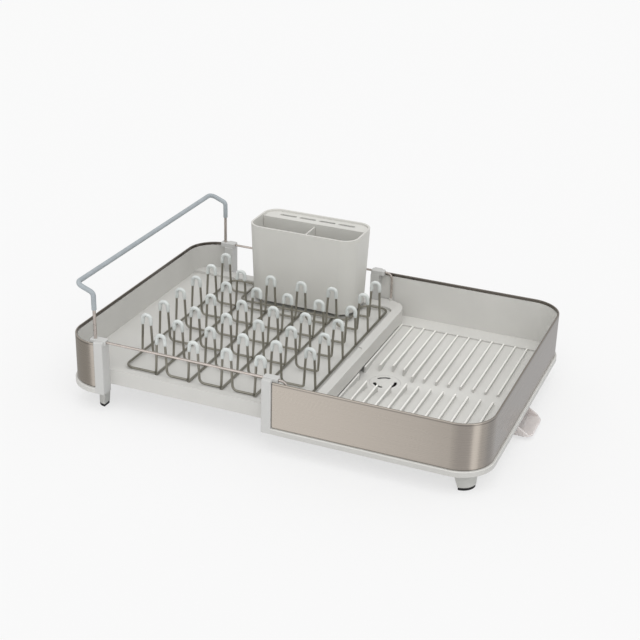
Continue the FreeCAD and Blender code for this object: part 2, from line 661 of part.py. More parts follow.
floor_under = FLOOR_TOP - PLATE
deck_under = DECK_TOP - PLATE
steel_end = inner_plan(WALL_OUTSIDE, floor_under, DECK_TOP, INNER_POST_X)
middle = box(INNER_POST_X, LEDGE_X - WIDE_CORNER, -side_half, side_half, SKIRT_BOTTOM, DECK_TOP)
wide = wide_plan(0, SKIRT_BOTTOM, DECK_TOP)
ledge_zone = box(recess_x1, LEDGE_X, -HALF, HALF, SKIRT_BOTTOM, LEDGE_TOP)
ledge = wide_plan(0, SKIRT_BOTTOM, LEDGE_TOP).common(ledge_zone)
form = steel_end.fuse([middle, wide, ledge]).cut(recess(0, FLOOR_TOP, LEDGE_TOP + 1))
low = FLANGE_BOTTOM - 1
hollow = inner_plan(WALL_INSIDE, low, deck_under, INNER_POST_X).fuse([
    box(INNER_POST_X - 1, LEDGE_X - WIDE_CORNER, PLATE - side_half, side_half - PLATE, low, deck_under),
    wide_plan(PLATE, low, deck_under, SHOULDER_X + PLATE),
    wide_plan(PLATE, low, LEDGE_TOP - PLATE).common(
        box(recess_x1 + PLATE, LEDGE_X, -HALF, HALF, low, LEDGE_TOP))])
hollow = hollow.cut([recess(PLATE, floor_under, LEDGE_TOP), pill(PLATE, deck_under, LEDGE_TOP)])
steel_end_base = flange(inner_plan, INNER_POST_X, -1).fuse(backing_wall(inner_plan, -1))
steel_end_base = steel_end_base.cut(inner_plan(WALL_INSIDE, low, WALL_TOP, INNER_POST_X + 1))
relief_half = HALF - WIDE_INSET - WIDE_CORNER - RELIEF_MARGIN
ledge_relief = box(LEDGE_X - PLATE - 1, LEDGE_X + 1, -relief_half, relief_half, low, LEDGE_WALL_BOTTOM)
inner_tray = form.cut([hollow, ledge_relief, pill(0, DECK_TOP, LEDGE_TOP + 1)]).fuse(steel_end_base)
nub_y = -HALF + WIDE_INSET + NUB_EDGE + NUB_RADIUS
nub = Part.makeCylinder(NUB_RADIUS, NUB_HEIGHT, V(RAIL_DOWN_X, nub_y, DECK_TOP))
rail_foot_z = DECK_TOP + 1
rail_foot = V(RAIL_DOWN_X, RAIL_Y, rail_foot_z)
nub = nub.cut(Part.makeCylinder(RAIL_DIAMETER / 2 + PLUG_GAP, NUB_HEIGHT, rail_foot))
glide_x = SHOULDER_X + 2 * PLATE
glide_y = -HALF + WIDE_INSET
glide_x1 = glide_x + GLIDE_LENGTH
glide = box(glide_x, glide_x1, glide_y, glide_y + GLIDE_WIDTH, SHELF_TOP + GLIDE_GAP, SKIRT_BOTTOM)
glide = glide.fuse(box(glide_x, glide_x1, glide_y, glide_y + PLATE, SKIRT_BOTTOM, SKIRT_BOTTOM + 1))
inner_tray = inner_tray.fuse([nub, rear_of(nub), glide, rear_of(glide)]).removeSplitter()
save("inner_tray", inner_tray)

# Rails: wires from the inner caps, through the outer caps and down to the wide end
rail_route = [
    (rail_start_x, RAIL_Y, RAIL_Z), (RAIL_DOWN_X, RAIL_Y, RAIL_Z), (RAIL_DOWN_X, RAIL_Y, rail_foot_z)]
save_pair("rail", rod(rail_route, [RAIL_BEND], RAIL_DIAMETER))

# Handle: one wire from cap to cap, with a soft sleeve over its upper part
bar_x = handle_x - HANDLE_REACH


def handle_route(z0):
    """Points of the handle's wire, from height z0 in front to the same height at the rear."""
    half_route = [
        (handle_x, handle_y, z0), (handle_x, handle_y, HANDLE_RISE_TOP), (bar_x, handle_y, HANDLE_BAR_Z)]
    return half_route + [(x, -y, z) for x, y, z in reversed(half_route)]


handle_bends = [HANDLE_KNEE_BEND, HANDLE_BEND, HANDLE_BEND, HANDLE_KNEE_BEND]
save("handle_wire", rod(handle_route(handle_z0), handle_bends, HANDLE_DIAMETER))
sleeve = rod(handle_route(SLEEVE_BOTTOM), handle_bends, SLEEVE_DIAMETER)
sleeve_bore = rod(handle_route(SLEEVE_BOTTOM), handle_bends, HANDLE_DIAMETER + 2 * PLUG_GAP)
save("handle_sleeve", sleeve.cut(sleeve_bore))


# Feet
def quarter_wire(x, y, radius, side, z):
    """Quarter disc in plan with its square corner at (x, y), round towards the front and side."""
    on_arc = radius * math.sqrt(0.5)
    corner = V(x, y, z)
    front_end = V(x, y - radius, z)
    side_end = V(x + side * radius, y, z)
    return closed_wire([
        Part.LineSegment(corner, front_end),
        Part.Arc(front_end, V(x + side * on_arc, y - on_arc, z), side_end),
        Part.LineSegment(side_end, corner),
    ])


def foot(x, y, radii, side, top):
    """Leg that widens upwards to the flange, cut off at top; its flat sides start at (x, y)."""
    low, high = radii
    grow = high - low
    bottom = quarter_wire(x, y, low, side, PAD_HEIGHT)
    upper = quarter_wire(x - side * grow, y + grow, high, side, FLANGE_BOTTOM)
    leg = Part.makeLoft([bottom, upper], True, True)
    return leg.fuse(Part.Face(upper).extrude(V(0, 0, top - FLANGE_BOTTOM)))


def pad(x, y, radii, side):
    """Rubber pad under a leg."""
    outline = quarter_wire(x + side * PAD_MARGIN, y - PAD_MARGIN, radii[0] - 2 * PAD_MARGIN, side, 0)
    return Part.Face(outline).extrude(V(0, 0, PAD_HEIGHT))


outer_foot_set = OUTER_FOOT_INSET + OUTER_FOOT_RADII[0]
outer_foot_at = (RIGHT_X - outer_foot_set, outer_foot_set - HALF)
inner_foot_at = (LEFT_X + INNER_FOOT_INSET_X, INNER_FOOT_INSET_Y + INNER_FOOT_RADII[0] - HALF)
outer_foot = foot(*outer_foot_at, OUTER_FOOT_RADII, 1, SHELF_UNDER)
save_pair("outer_foot", outer_foot.cut(basin(PLATE, SHELF_TOP)).removeSplitter())
save_pair("outer_pad", pad(*outer_foot_at, OUTER_FOOT_RADII, 1))
inner_foot = foot(*inner_foot_at, INNER_FOOT_RADII, -1, floor_under)
save_pair("inner_foot", inner_foot.cut([inner_post, inner_tray]).removeSplitter())
save_pair("inner_pad", pad(*inner_foot_at, INNER_FOOT_RADII, -1))

# Plate rack
wire_radius = RACK_WIRE / 2
under_rail_z = FLOOR_TOP + RACK_SEAT_GAP + wire_radius
row_z = under_rail_z + RACK_WIRE - WELD_SET
prong_z = PRONG_TOP - TIP_DIAMETER / 2
lean = (PRONG_WIDTH - PRONG_TIP_WIDTH) / 2
cup_x1 = OPEN_X + CUP_PAST_OPEN_END
cup_x0 = cup_x1 - CUP_LENGTH
cup_y1 = HALF - CUP_REAR_INSET
cup_y0 = cup_y1 - CUP_DEPTH
notch_x0 = cup_x0 - NOTCH_GAP_LEFT
notch_x1 = cup_x1 - NOTCH_GAP_RIGHT
notch_y = cup_y0 - NOTCH_GAP_FRONT
frame_x0 = LEFT_X + RACK_LEFT_INSET
column_room = recess_x1 - RACK_RIGHT_GAP - PRONG_WIDTH - frame_x0
column_x = [frame_x0 + RACK_PITCH * column for column in range(int(column_room / RACK_PITCH) + 1)]
frame_x1 = column_x[-1] + PRONG_WIDTH
frame_y1 = HALF - RACK_REAR_INSET
first_y = -HALF + RACK_FRONT_INSET
places_y = [first_y + RACK_PITCH * row for row in range(int((frame_y1 - first_y) / RACK_PITCH) + 1)]
full_rows = [y for y in places_y if y < notch_y - ROW_GAP]
side_rows = [y for y in places_y if notch_y + ROW_GAP < y < frame_y1 - ROW_GAP]


def hairpin(x, y, z):
    """Corner points of one prong: up, over the top and down."""
    return [(x, y, z), (x + lean, y, prong_z), (x + PRONG_WIDTH - lean, y, prong_z), (x + PRONG_WIDTH, y, z)]


def prong_run(columns, y):
    """Corner points and bends of prongs joined by level runs at the row's height."""
    points = []
    bends = []
    for x in columns:
        points += hairpin(x, y, row_z)
        bends += [PRONG_LEFT_BEND, PRONG_TOP_ROUND, PRONG_TOP_ROUND, PRONG_RIGHT_BEND]
    return points, bends


frame_end_y = first_y + FRAME_END_Y
frame_route = [
    (frame_x0, frame_end_y, row_z), (frame_x0, frame_y1, row_z), (notch_x0, frame_y1, row_z),
    (notch_x0, notch_y, row_z), (notch_x1, notch_y, row_z), (notch_x1, frame_y1, row_z),
    (frame_x1, frame_y1, row_z), (frame_x1, frame_end_y, row_z)]
rack_frame = rod(frame_route, [FRAME_BEND] * (len(frame_route) - 2), RACK_WIRE)
rail_wire_y0 = first_y - RAIL_WIRE_OVERHANG
rail_wire_y1 = notch_y + wire_radius
under_rails = [
    rod([(x, rail_wire_y0, under_rail_z), (x, rail_wire_y1, under_rail_z)], [], RACK_WIRE)
    for x in column_x[1:-1]]
save("rack_frame", rack_frame.cut(under_rails))
for number, wire in enumerate(under_rails, start=1):
    save(f"rack_rail_{number}", wire)

points, bends = prong_run(column_x[1:-1], first_y)
points = [(frame_x0, frame_end_y, row_z), (frame_x0, first_y, row_z)] + points
points += [(frame_x1, first_y, row_z), (frame_x1, frame_end_y, row_z)]
front_row = rod(points, [FRAME_BEND] + bends + [FRAME_BEND], RACK_WIRE)
save("prong_row_1", front_row.cut(under_rails))

on_frame_z = row_z + wire_radius
for number, y in enumerate(full_rows[1:], start=2):
    points, bends = prong_run(column_x, y)
    points[0] = (frame_x0, y, on_frame_z)
    points[-1] = (frame_x1, y, on_frame_z)
    save(f"prong_row_{number}", rod(points, bends[1:-1], RACK_WIRE).cut(under_rails))

for number, y in enumerate(side_rows, start=len(full_rows) + 1):
    left_points = hairpin(frame_x0, y, row_z) + [(notch_x0 - wire_radius, y, row_z)]
    left_points[0] = (frame_x0, y, on_frame_z)
    right_points = [(notch_x1 + wire_radius, y, row_z)] + hairpin(column_x[-1], y, row_z)
    right_points[-1] = (frame_x1, y, on_frame_z)
    left_prong = rod(left_points, [PRONG_TOP_ROUND, PRONG_TOP_ROUND, PRONG_RIGHT_BEND], RACK_WIRE)
    right_prong = rod(right_points, [PRONG_LEFT_BEND, PRONG_TOP_ROUND, PRONG_TOP_ROUND], RACK_WIRE)
    save(f"prong_row_{number}", Part.makeCompound([left_prong, right_prong]))


# Soft tips over the prongs
def tip():
    """Sleeve over the top of a prong whose left leg starts at x 0, y 0."""
    low_z = PRONG_TOP - TIP_LENGTH
    shift = lean * (low_z - row_z) / (prong_z - row_z)
    route = [
        (shift, 0, low_z), (lean, 0, prong_z),
        (PRONG_WIDTH - lean, 0, prong_z), (PRONG_WIDTH - shift, 0, low_z)]
    rounds = [PRONG_TOP_ROUND, PRONG_TOP_ROUND]
    return rod(route, rounds, TIP_DIAMETER).cut(rod(route, rounds, RACK_WIRE + 2 * TIP_GAP))


one_tip = tip()
tip_columns = [column_x[1:-1]] + [column_x] * (len(full_rows) - 1)
tip_columns += [[column_x[0], column_x[-1]]] * len(side_rows)
for number, (columns, y) in enumerate(zip(tip_columns, full_rows + side_rows), start=1):
    save(f"tips_row_{number}", Part.makeCompound([one_tip.translated(V(x, y, 0)) for x in columns]))


# Cutlery holder
def cup_loft(inset, bottom, top):
    """Tapered form with round corners, drawn in by inset, between two heights."""
    wires = []
    for z in (bottom, top):
        share = (CUP_TOP - z) / (CUP_TOP - CUP_BOTTOM)
        in_x = inset + CUP_TAPER_X * share
        in_y = inset + CUP_TAPER_Y * share
        wires.append(rounded_wire(cup_x0 + in_x, cup_x1 - in_x, cup_y0 + in_y, cup_y1 - in_y,
                                  CUP_RADIUS - inset, z))
    return Part.makeLoft(wires, True, True)


cup = cup_loft(0, CUP_BOTTOM, CUP_TOP).cut(cup_loft(CUP_WALL, CUP_BOTTOM + CUP_WALL, CUP_TOP + 1))
cup_feet = []
for x in (cup_x0 + CUP_FOOT_INSET, cup_x1 - CUP_FOOT_INSET):
    for y, seat in ((cup_y0 + CUP_FRONT_FOOT_Y, FLOOR_TOP), (recess_y1 + CUP_REAR_FOOT_Y, DECK_TOP)):
        cup_feet.append(Part.makeCylinder(CUP_FOOT_RADIUS, CUP_BOTTOM - seat + 1, V(x, y, seat)))
cup = cup.fuse(cup_feet).removeSplitter()
save("cutlery_cup", cup)
inside = cup_loft(CUP_WALL + CUP_FIT, CUP_BOTTOM + CUP_WALL, CUP_TOP)
guard_y = cup_y1 - CUP_WALL - GUARD_DEPTH
divider_x = (cup_x0 + cup_x1) / 2 + DIVIDER_SHIFT
divider = box(divider_x - DIVIDER / 2, divider_x + DIVIDER / 2, cup_y0, guard_y - CUP_FIT,
              CUP_BOTTOM + CUP_WALL, CUP_TOP - DIVIDER_DROP)
save("cutlery_divider", divider.common(inside))
guard_top = CUP_TOP - GUARD_DROP
guard = box(cup_x0, cup_x1, guard_y, cup_y1, guard_top - GUARD_PLATE, guard_top)
guard = guard.fuse(box(cup_x0, cup_x1, guard_y, guard_y + DIVIDER, CUP_BOTTOM + CUP_WALL, guard_top))
guard = guard.common(inside)
slot_pitch = (CUP_LENGTH - 2 * CUP_RADIUS) / GUARD_SLOTS
slot_y = guard_y + DIVIDER + (GUARD_DEPTH - DIVIDER) / 2
for number in range(GUARD_SLOTS):
    slot_x = cup_x0 + CUP_RADIUS + slot_pitch * (number + 0.5)
    guard = guard.cut(stadium_block(
        slot_x - GUARD_SLOT_LENGTH / 2, slot_x + GUARD_SLOT_LENGTH / 2, slot_y - GUARD_SLOT_WIDTH / 2,
        slot_y + GUARD_SLOT_WIDTH / 2, guard_top - GUARD_PLATE - 1, guard_top + 1))
save("knife_guard", guard)

print(f"steel length {STEEL_LENGTH:.1f}, travel {TRAVEL:.1f}, right {RIGHT_X:.2f}, left {LEFT_X:.2f}")
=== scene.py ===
"""Expandable dish rack: two trays that slide apart, steel bands round them, a lift-out rack of
wire prongs, a cutlery holder, a wire handle and a spout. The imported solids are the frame; the
sheet, the wires and the soft sleeves are made here as surfaces, and the mouldings get finishes."""
import math
from collections import namedtuple

import bpy
import numpy as np
from bpy.props import FloatProperty, FloatVectorProperty, IntProperty, PointerProperty
from mathutils import Matrix, Vector


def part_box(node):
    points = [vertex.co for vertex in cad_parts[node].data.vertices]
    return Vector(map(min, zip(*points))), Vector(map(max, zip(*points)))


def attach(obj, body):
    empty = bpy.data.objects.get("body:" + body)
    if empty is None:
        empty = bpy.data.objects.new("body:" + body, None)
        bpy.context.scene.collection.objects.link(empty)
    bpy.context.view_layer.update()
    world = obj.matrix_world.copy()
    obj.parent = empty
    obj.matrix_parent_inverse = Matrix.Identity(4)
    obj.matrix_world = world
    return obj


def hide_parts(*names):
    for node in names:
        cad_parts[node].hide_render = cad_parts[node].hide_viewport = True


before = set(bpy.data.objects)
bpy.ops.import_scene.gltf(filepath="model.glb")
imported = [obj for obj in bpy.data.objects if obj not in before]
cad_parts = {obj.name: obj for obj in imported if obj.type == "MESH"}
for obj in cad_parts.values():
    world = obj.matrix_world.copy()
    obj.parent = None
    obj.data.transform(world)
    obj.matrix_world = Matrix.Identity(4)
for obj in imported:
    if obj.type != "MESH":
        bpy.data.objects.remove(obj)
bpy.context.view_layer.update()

bl_info = {
    "name": "Expandable Dish Rack",
    "version": (1, 0, 0),
    "blender": (4, 5, 0),
    "location": "View3D > Sidebar > Dish Rack",
    "description": "Dresses an expandable dish rack with brushed steel, wire, rubber and moulded plastic",
    "category": "Object",
}

MM = 0.001


def linear(red, green, blue):
    """Colour seen on a screen, 0 to 255, as the light it stands for, by the sRGB curve."""
    seen = np.array([red, green, blue]) / 255
    return tuple(np.where(seen <= 0.04045, seen / 12.92, ((seen + 0.055) / 1.055) ** 2.4).tolist())


def corners(node):
    """Lowest and highest corner of a frame node, in millimetres."""
    low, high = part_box(node)
    return np.array(low) / MM, np.array(high) / MM


# Surfaces on grids
# Turn between two points of a bend, a direction that no wire is parallel to, and the places of the
# rings on a rounded end, as parts of its reach
BEND_STEP = math.radians(9)
WIRE_UPRIGHT = np.array([0.31, 0.47, 0.83])
DOME_SHARES = np.array([0.0, 0.06, 0.2, 0.42, 0.7, 1.0])


def cell_faces(rows, columns, close_rows=False, close_columns=False):
    """Four-cornered faces of a grid: cell (i, j) joins points (i, j), (i+1, j), (i+1, j+1), (i, j+1)."""
    row = np.arange(rows if close_rows else rows - 1)[:, None]
    column = np.arange(columns if close_columns else columns - 1)[None, :]
    next_row = (row + 1) % rows
    next_column = (column + 1) % columns
    cells = [row * columns + column, next_row * columns + column,
             next_row * columns + next_column, row * columns + next_column]
    return np.stack(np.broadcast_arrays(*cells), axis=-1).reshape(-1, 4)


def bent(points, bends):
    """Route of straight runs joined by tangent arcs. At a corner with unit directions a back along
    the route and b ahead, an arc of radius r starts r / tan(half the angle between them) away, and
    its points are centre + r * (cos(t) * out + sin(t) * across)."""
    points = [np.array(point, float) for point in points]
    route = [points[0][None]]
    for before, corner, after, bend in zip(points, points[1:], points[2:], bends):
        back = (before - corner) / np.linalg.norm(before - corner)
        ahead = (after - corner) / np.linalg.norm(after - corner)
        half = math.acos(np.clip(back @ ahead, -1, 1)) / 2
        middle = (back + ahead) / np.linalg.norm(back + ahead)
        centre = corner + middle * bend / math.sin(half)
        sweep = math.pi / 2 - half
        across = (ahead - back) / np.linalg.norm(ahead - back)
        turn = np.linspace(-sweep, sweep, max(3, round(2 * sweep / BEND_STEP) + 1))[:, None]
        route.append(centre + bend * (np.sin(turn) * across - np.cos(turn) * middle))
    route.append(points[-1][None])
    return np.concatenate(route)


def headings(route):
    """Unit tangents of a route, as the difference of the points on either side of each."""
    ahead = np.diff(route, axis=0)
    ahead /= np.linalg.norm(ahead, axis=1)[:, None]
    both = np.concatenate([ahead[:1], ahead[:-1] + ahead[1:], ahead[-1:]])
    return both / np.linalg.norm(both, axis=1)[:, None]


def tube(route, radii, sides):
    """Round wire along a route: point (i, j) is route i + radius i * (cos(t) * side + sin(t) * up),
    where side is the heading crossed with one fixed direction that no run is parallel to."""
    along = headings(route)
    side = np.cross(along, WIRE_UPRIGHT)
    side /= np.linalg.norm(side, axis=1)[:, None]
    up = np.cross(side, along)
    turn = np.arange(sides) * 2 * math.pi / sides
    ring = np.cos(turn)[None, :, None] * side[:, None] + np.sin(turn)[None, :, None] * up[:, None]
    radii = np.broadcast_to(radii, len(route))
    points = route[:, None] + radii[:, None, None] * ring
    faces = cell_faces(len(route), sides, close_columns=True).tolist()
    first = list(range(sides))
    last = [(len(route) - 1) * sides + number for number in range(sides)]
    return points.reshape(-1, 3), faces + [first, last[::-1]]


def domed(route, radius, tip, reach):
    """Route and radii of a wire whose two ends are rounded off: at distance d from an end the
    radius is tip + (radius - tip) * sqrt(1 - (1 - d / reach) squared)."""
    grown = tip + (radius - tip) * np.sqrt(1 - (1 - DOME_SHARES) ** 2)
    ends = []
    for end, second in ((route[0], route[1]), (route[-1], route[-2])):
        inward = (second - end) / np.linalg.norm(second - end)
        ends.append(end + DOME_SHARES[:, None] * reach * inward)
    plain = np.full(len(route) - 2, float(radius))
    domed_route = np.concatenate([ends[0], route[1:-1], ends[1][::-1]])
    return domed_route, np.concatenate([grown, plain, grown[::-1]])


def make_piece(name, parts, finish, body, replaced, sharp=60, grain=None):
    """One object from parts, each an array of points in millimetres with its faces, joined in one
    mesh that sits at the origin. Edges that turn by more than sharp degrees stay crisp. grain, if
    given, holds a map place for each point, in metres."""
    points = np.concatenate([part[0] for part in parts]) * MM
    starts = np.cumsum([0] + [len(part[0]) for part in parts[:-1]])
    faces = [[number + start for number in face]
             for part, start in zip(parts, starts.tolist()) for face in part[1]]
    mesh = bpy.data.meshes.new(name)
    mesh.from_pydata(points.tolist(), [], faces)
    mesh.validate()
    if grain is not None:
        loops = np.empty(len(mesh.loops), np.int32)
        mesh.loops.foreach_get("vertex_index", loops)
        layer = mesh.uv_layers.new(name="grain")
        layer.data.foreach_set("uv", grain[loops].astype(np.float32).ravel())
    mesh.polygons.foreach_set("use_smooth", np.ones(len(mesh.polygons), bool))
    mesh.set_sharp_from_angle(angle=math.radians(sharp))
    mesh.materials.append(finish)
    piece = bpy.data.objects.new(name, mesh)
    bpy.context.scene.collection.objects.link(piece)
    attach(piece, body)
    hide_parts(*replaced)


# Mouldings: how near points are joined, in metres, the angle up to which faces count as flat, the
# angle from which an edge is rounded, steps of that round, and how much large faces lead the shading
JOIN_REACH = 2e-6
FLAT_ANGLE = math.radians(0.4)
EDGE_ANGLE = math.radians(28)
EDGE_STEPS = 3
LARGE_FACES_LEAD = 80


def dress(node, finish, edge):
    """Give a moulded node its finish, with every sharp edge rounded by edge millimetres."""
    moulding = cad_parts[node]
    if moulding.material_slots:
        moulding.material_slots[0].material = finish
    else:
        moulding.data.materials.append(finish)
    weld = moulding.modifiers.new("join", "WELD")
    weld.merge_threshold = JOIN_REACH
    flat = moulding.modifiers.new("flats", "DECIMATE")
    flat.decimate_type = "DISSOLVE"
    flat.angle_limit = FLAT_ANGLE
    bevel = moulding.modifiers.new("edges", "BEVEL")
    bevel.width = edge * MM
    bevel.segments = EDGE_STEPS
    bevel.limit_method = "ANGLE"
    bevel.angle_limit = EDGE_ANGLE
    bevel.miter_outer = "MITER_ARC"
    shade = moulding.modifiers.new("shading", "WEIGHTED_NORMAL")
    shade.keep_sharp = False
    shade.weight = LARGE_FACES_LEAD


# Finishes
class Reading:
    """A shader value that takes part in sums: each operator adds one Math node, so 1 - mask works."""

    def __init__(self, finish, socket):
        self.finish = finish
        self.socket = socket

    def sum(self, operation, first, second, clamp=False):
        """Math node on two values or readings."""
        settings = {"operation": operation, "use_clamp": clamp}
        return self.finish.node("ShaderNodeMath", settings, {0: first, 1: second})

    def __add__(self, other):
        return self.sum("ADD", self, other)

    def __radd__(self, other):
        return self.sum("ADD", other, self)

    def __sub__(self, other):
        return self.sum("SUBTRACT", self, other)

    def __rsub__(self, other):
        return self.sum("SUBTRACT", other, self)

    def __mul__(self, other):
        return self.sum("MULTIPLY", self, other)

    def __rmul__(self, other):
        return self.sum("MULTIPLY", other, self)

    def held(self):
        """The same value, kept between 0 and 1."""
        return self.sum("ADD", self, 0.0, clamp=True)

    def size(self):
        """The value without its sign."""
        return self.sum("ABSOLUTE", self, 0.0)


class Finish:
    """Node tree of one material or of the world."""

    def __init__(self, owner):
        self.owner = owner
        owner.use_nodes = True
        self.tree = owner.node_tree

    def node(self, kind, settings=None, values=None, output=0):
        """Add a node: settings are set first, then values or links for its sockets, by name or
        number. It gives back a reading of one output."""
        made = self.tree.nodes.new(kind)
        for key, value in (settings or {}).items():
            setattr(made, key, value)
        for key, value in (values or {}).items():
            self.put(made.inputs[key], value)
        return Reading(self, made.outputs[output])

    def put(self, socket, value):
        """Link a reading to a socket, or set its plain value."""
        if isinstance(value, Reading):
            self.tree.links.new(value.socket, socket)
        elif isinstance(value, tuple) and len(value) == 3 and socket.type == "RGBA":
            socket.default_value = (*value, 1.0)
        else:
            socket.default_value = value

    def place(self):
        """Point on the surface in the object's own metres."""
        return self.node("ShaderNodeTexCoord", output="Object")

    def stretched(self, place, scale):
        """Place multiplied by one factor for each axis."""
        return self.node("ShaderNodeVectorMath", {"operation": "MULTIPLY"}, {0: place, 1: scale})

    def noise(self, place, scale, detail):
        """Smooth random value about 0.5, with features about one over scale metres wide."""
        values = {"Vector": place, "Scale": scale, "Detail": detail}
        return self.node("ShaderNodeTexNoise", None, values)

    def tint(self, share, first, second):
        """Colour between two colours."""
        return self.node("ShaderNodeMix", {"data_type": "RGBA"}, {0: share, 6: first, 7: second}, output=2)

    def step(self, value, low, high):
        """0 below low, 1 above high, smooth between."""
        values = {"Value": value, "From Min": low, "From Max": high}
        return self.node("ShaderNodeMapRange", {"interpolation_type": "SMOOTHSTEP"}, values)

    def part(self, vector, axis):
        """One of a vector's three values."""
        return self.node("ShaderNodeSeparateXYZ", None, {0: vector}, output=axis)

    def relief(self, surface, strength, depth, height):
        """Tilt the surface as if it were raised by height times depth, in metres."""
        values = {"Strength": strength, "Distance": depth, "Height": height}
        self.put(surface.inputs["Normal"], self.node("ShaderNodeBump", None, values))

    def rib_highlight_zone(self, place, x_end, y_half, low, high):
        """Mask of the painted highlight: 1 on the ribs, inside the zone in x, y and z, and not on level
        faces, but for the top.
        """
        normal = self.node("ShaderNodeNewGeometry", output="Normal")
        x, y, z = (self.part(place, axis) for axis in range(3))
        inside = 1 - self.step(y.size(), y_half, y_half + ZONE_FADE)
        inside = inside * (1 - self.step(x, x_end, x_end + ZONE_FADE))
        above = high + CREST_ROOM
        raised = self.step(z, low, low + CREST_FADE) * (1 - self.step(z, above, above + ZONE_FADE))
        sloping = 1 - self.step(self.part(normal, 2), *LEVEL_FACES)
        top_from, top_full = (high - depth for depth in CREST_TOP)
        top = self.step(z, top_from, top_full)
        return inside * raised * (sloping + top).held()

    def upright_shade_zone(self, place, high):
        """Mask of the painted shade: 1 on the upright faces below the ribs' height."""
        normal = self.node("ShaderNodeNewGeometry", output="Normal")
        full, none = (high - depth for depth in SKIRT_BELOW)
        below = 1 - self.step(self.part(place, 2), full, none)
        return below * (1 - self.step(self.part(normal, 2).size(), *UPRIGHT_FACES))


# Zones on the drip tray where a highlight is painted on the ribs and shade on the upright faces below them:
# widths of fades and depths below the ribs' tops, in metres, then the sizes of the normal's z between which
# a fade runs, and the zones' gains
ZONE_FADE = 0.001
CREST_FADE = 0.0012
CREST_ROOM = 0.0005
CREST_TOP = (0.0006, 0.0004)
SKIRT_BELOW = (0.0014, 0.0008)
LEVEL_FACES = (0.96, 0.995)
UPRIGHT_FACES = (0.3, 0.6)
# Gains of the painted highlight on the ribs and of the painted shade on the upright faces
RIB_HIGHLIGHT_GAIN = 1.4
UPRIGHT_SHADE_GAIN = 0.84

# Octaves of a rich and of a plain noise
RICH_DETAIL = 3.0
PLAIN_DETAIL = 2.0

# How an even surface varies, by a broad and a fine noise. clouds and grain: their features for each
# metre. share: part of the colour's change that follows the fine one. low and high: values of the
# noise at the darkest and the lightest colour, which are dark and light times the plain one.
# cloud_wear and grain_wear: how far each noise moves the roughness. bump and depth: strength and
# depth, in metres, of the fine noise's relief.
Skin = namedtuple("Skin", "clouds grain share low high dark light cloud_wear grain_wear bump depth")

MOULDED = Skin(clouds=14.0, grain=1600.0, share=0.25, low=0.3, high=0.7, dark=0.97, light=1.03,
               cloud_wear=0.12, grain_wear=0.1, bump=0.05, depth=0.0002)
RUBBER = Skin(clouds=60.0, grain=2400.0, share=0.0, low=0.35, high=0.7, dark=0.94, light=1.05,
              cloud_wear=0.15, grain_wear=0.1, bump=0.06, depth=0.0002)
WIRE = Skin(clouds=45.0, grain=3600.0, share=0.0, low=0.3, high=0.75, dark=0.9, light=1.06,
            cloud_wear=0.16, grain_wear=0.08, bump=0.08, depth=0.0001)

# Gloss of plastic, then the colour of the light scattered in plastic and in rubber, and how deep it
# goes, in metres
PLASTIC_GLOSS = 0.45
PLASTIC_SCATTER = (1.0, 0.95, 0.93)
PLASTIC_DEPTH = 0.006
RUBBER_SCATTER = (1.0, 1.0, 1.0)
RUBBER_DEPTH = 0.002

# Brushed sheet: features of each grain for each metre along the band and across it, and its parts in
# the streaks' colour and relief
FINE_GRAIN = (26.0, 5200.0, 0.0)
COARSE_GRAIN = (5.0, 640.0, 0.0)
BROAD_GRAIN = (7.0, 12.0, 0.0)
FINE_COLOUR = 0.35
COARSE_COLOUR = 0.45
BROAD_COLOUR = 0.2
FINE_RELIEF = 0.7
COARSE_RELIEF = 0.3
STREAK_RANGE = (0.32, 0.68)
STREAK_DARK = 0.965
STREAK_LIGHT = 1.03
STREAK_WEAR = 0.12
STREAK_BUMP = 0.1
STREAK_DEPTH = 0.00006

# Brushed sheet: where each zone starts and is full, in metres up its section, or along the band for the
# shade at the front end, then the zones' shares and gains, and how the shine is drawn out and turned. The
# thin dark lines and the darker inside past the fold are painted shade.
SHADE_UNDER_FOLD_FROM = (0.0546, 0.0553)
SHADE_UNDER_FOLD_TO = (0.0563, 0.0567)
FOLD_FROM = (0.0564, 0.057)
INSIDE_FROM = (0.0586, 0.0594)
FOOT_SHADE_LINE = (0.0005, 0.0013)
END_SHADE_LINE = (0.0004, 0.0012)
FOLD_SHADE_SHARE = 0.4
FOOT_SHADE_SHARE = 0.4
END_SHADE_SHARE = 0.5
SHADE_LINE_GAIN = 0.12
INSIDE_SHADE_GAIN = 0.32
FOLD_SHINE = 0.1
SHINE_TURN = 0.25
SHINE_STRETCH = 0.85


def new_finish(name):
    """Material with an empty tree but for its surface shader."""
    finish = Finish(bpy.data.materials.new(name))
    surface = finish.tree.nodes["Principled BSDF"]
    return finish, surface


def scaled(colour, factor):
    """Colour made lighter or darker, never over 1."""
    return tuple(min(1.0, part * factor) for part in colour)


def varied_finish(name, colour, roughness, skin):
    """Even surface that varies by two noises: mix = broad * (1 - share) + fine * share gives the
    colour, each noise minus a half moves the roughness by its wear, and the fine one is raised."""
    finish, surface = new_finish(name)
    place = finish.place()
    broad = finish.noise(place, skin.clouds, RICH_DETAIL)
    fine = finish.noise(place, skin.grain, PLAIN_DETAIL)
    mix = broad * (1 - skin.share) + fine * skin.share
    tone = finish.tint(finish.step(mix, skin.low, skin.high),
                       scaled(colour, skin.dark), scaled(colour, skin.light))
    finish.put(surface.inputs["Base Color"], tone)
    wear = (broad - 0.5) * skin.cloud_wear + (fine - 0.5) * skin.grain_wear
    finish.put(surface.inputs["Roughness"], wear + roughness)
    finish.relief(surface, skin.bump, skin.depth, fine)
    return finish, surface, place, tone


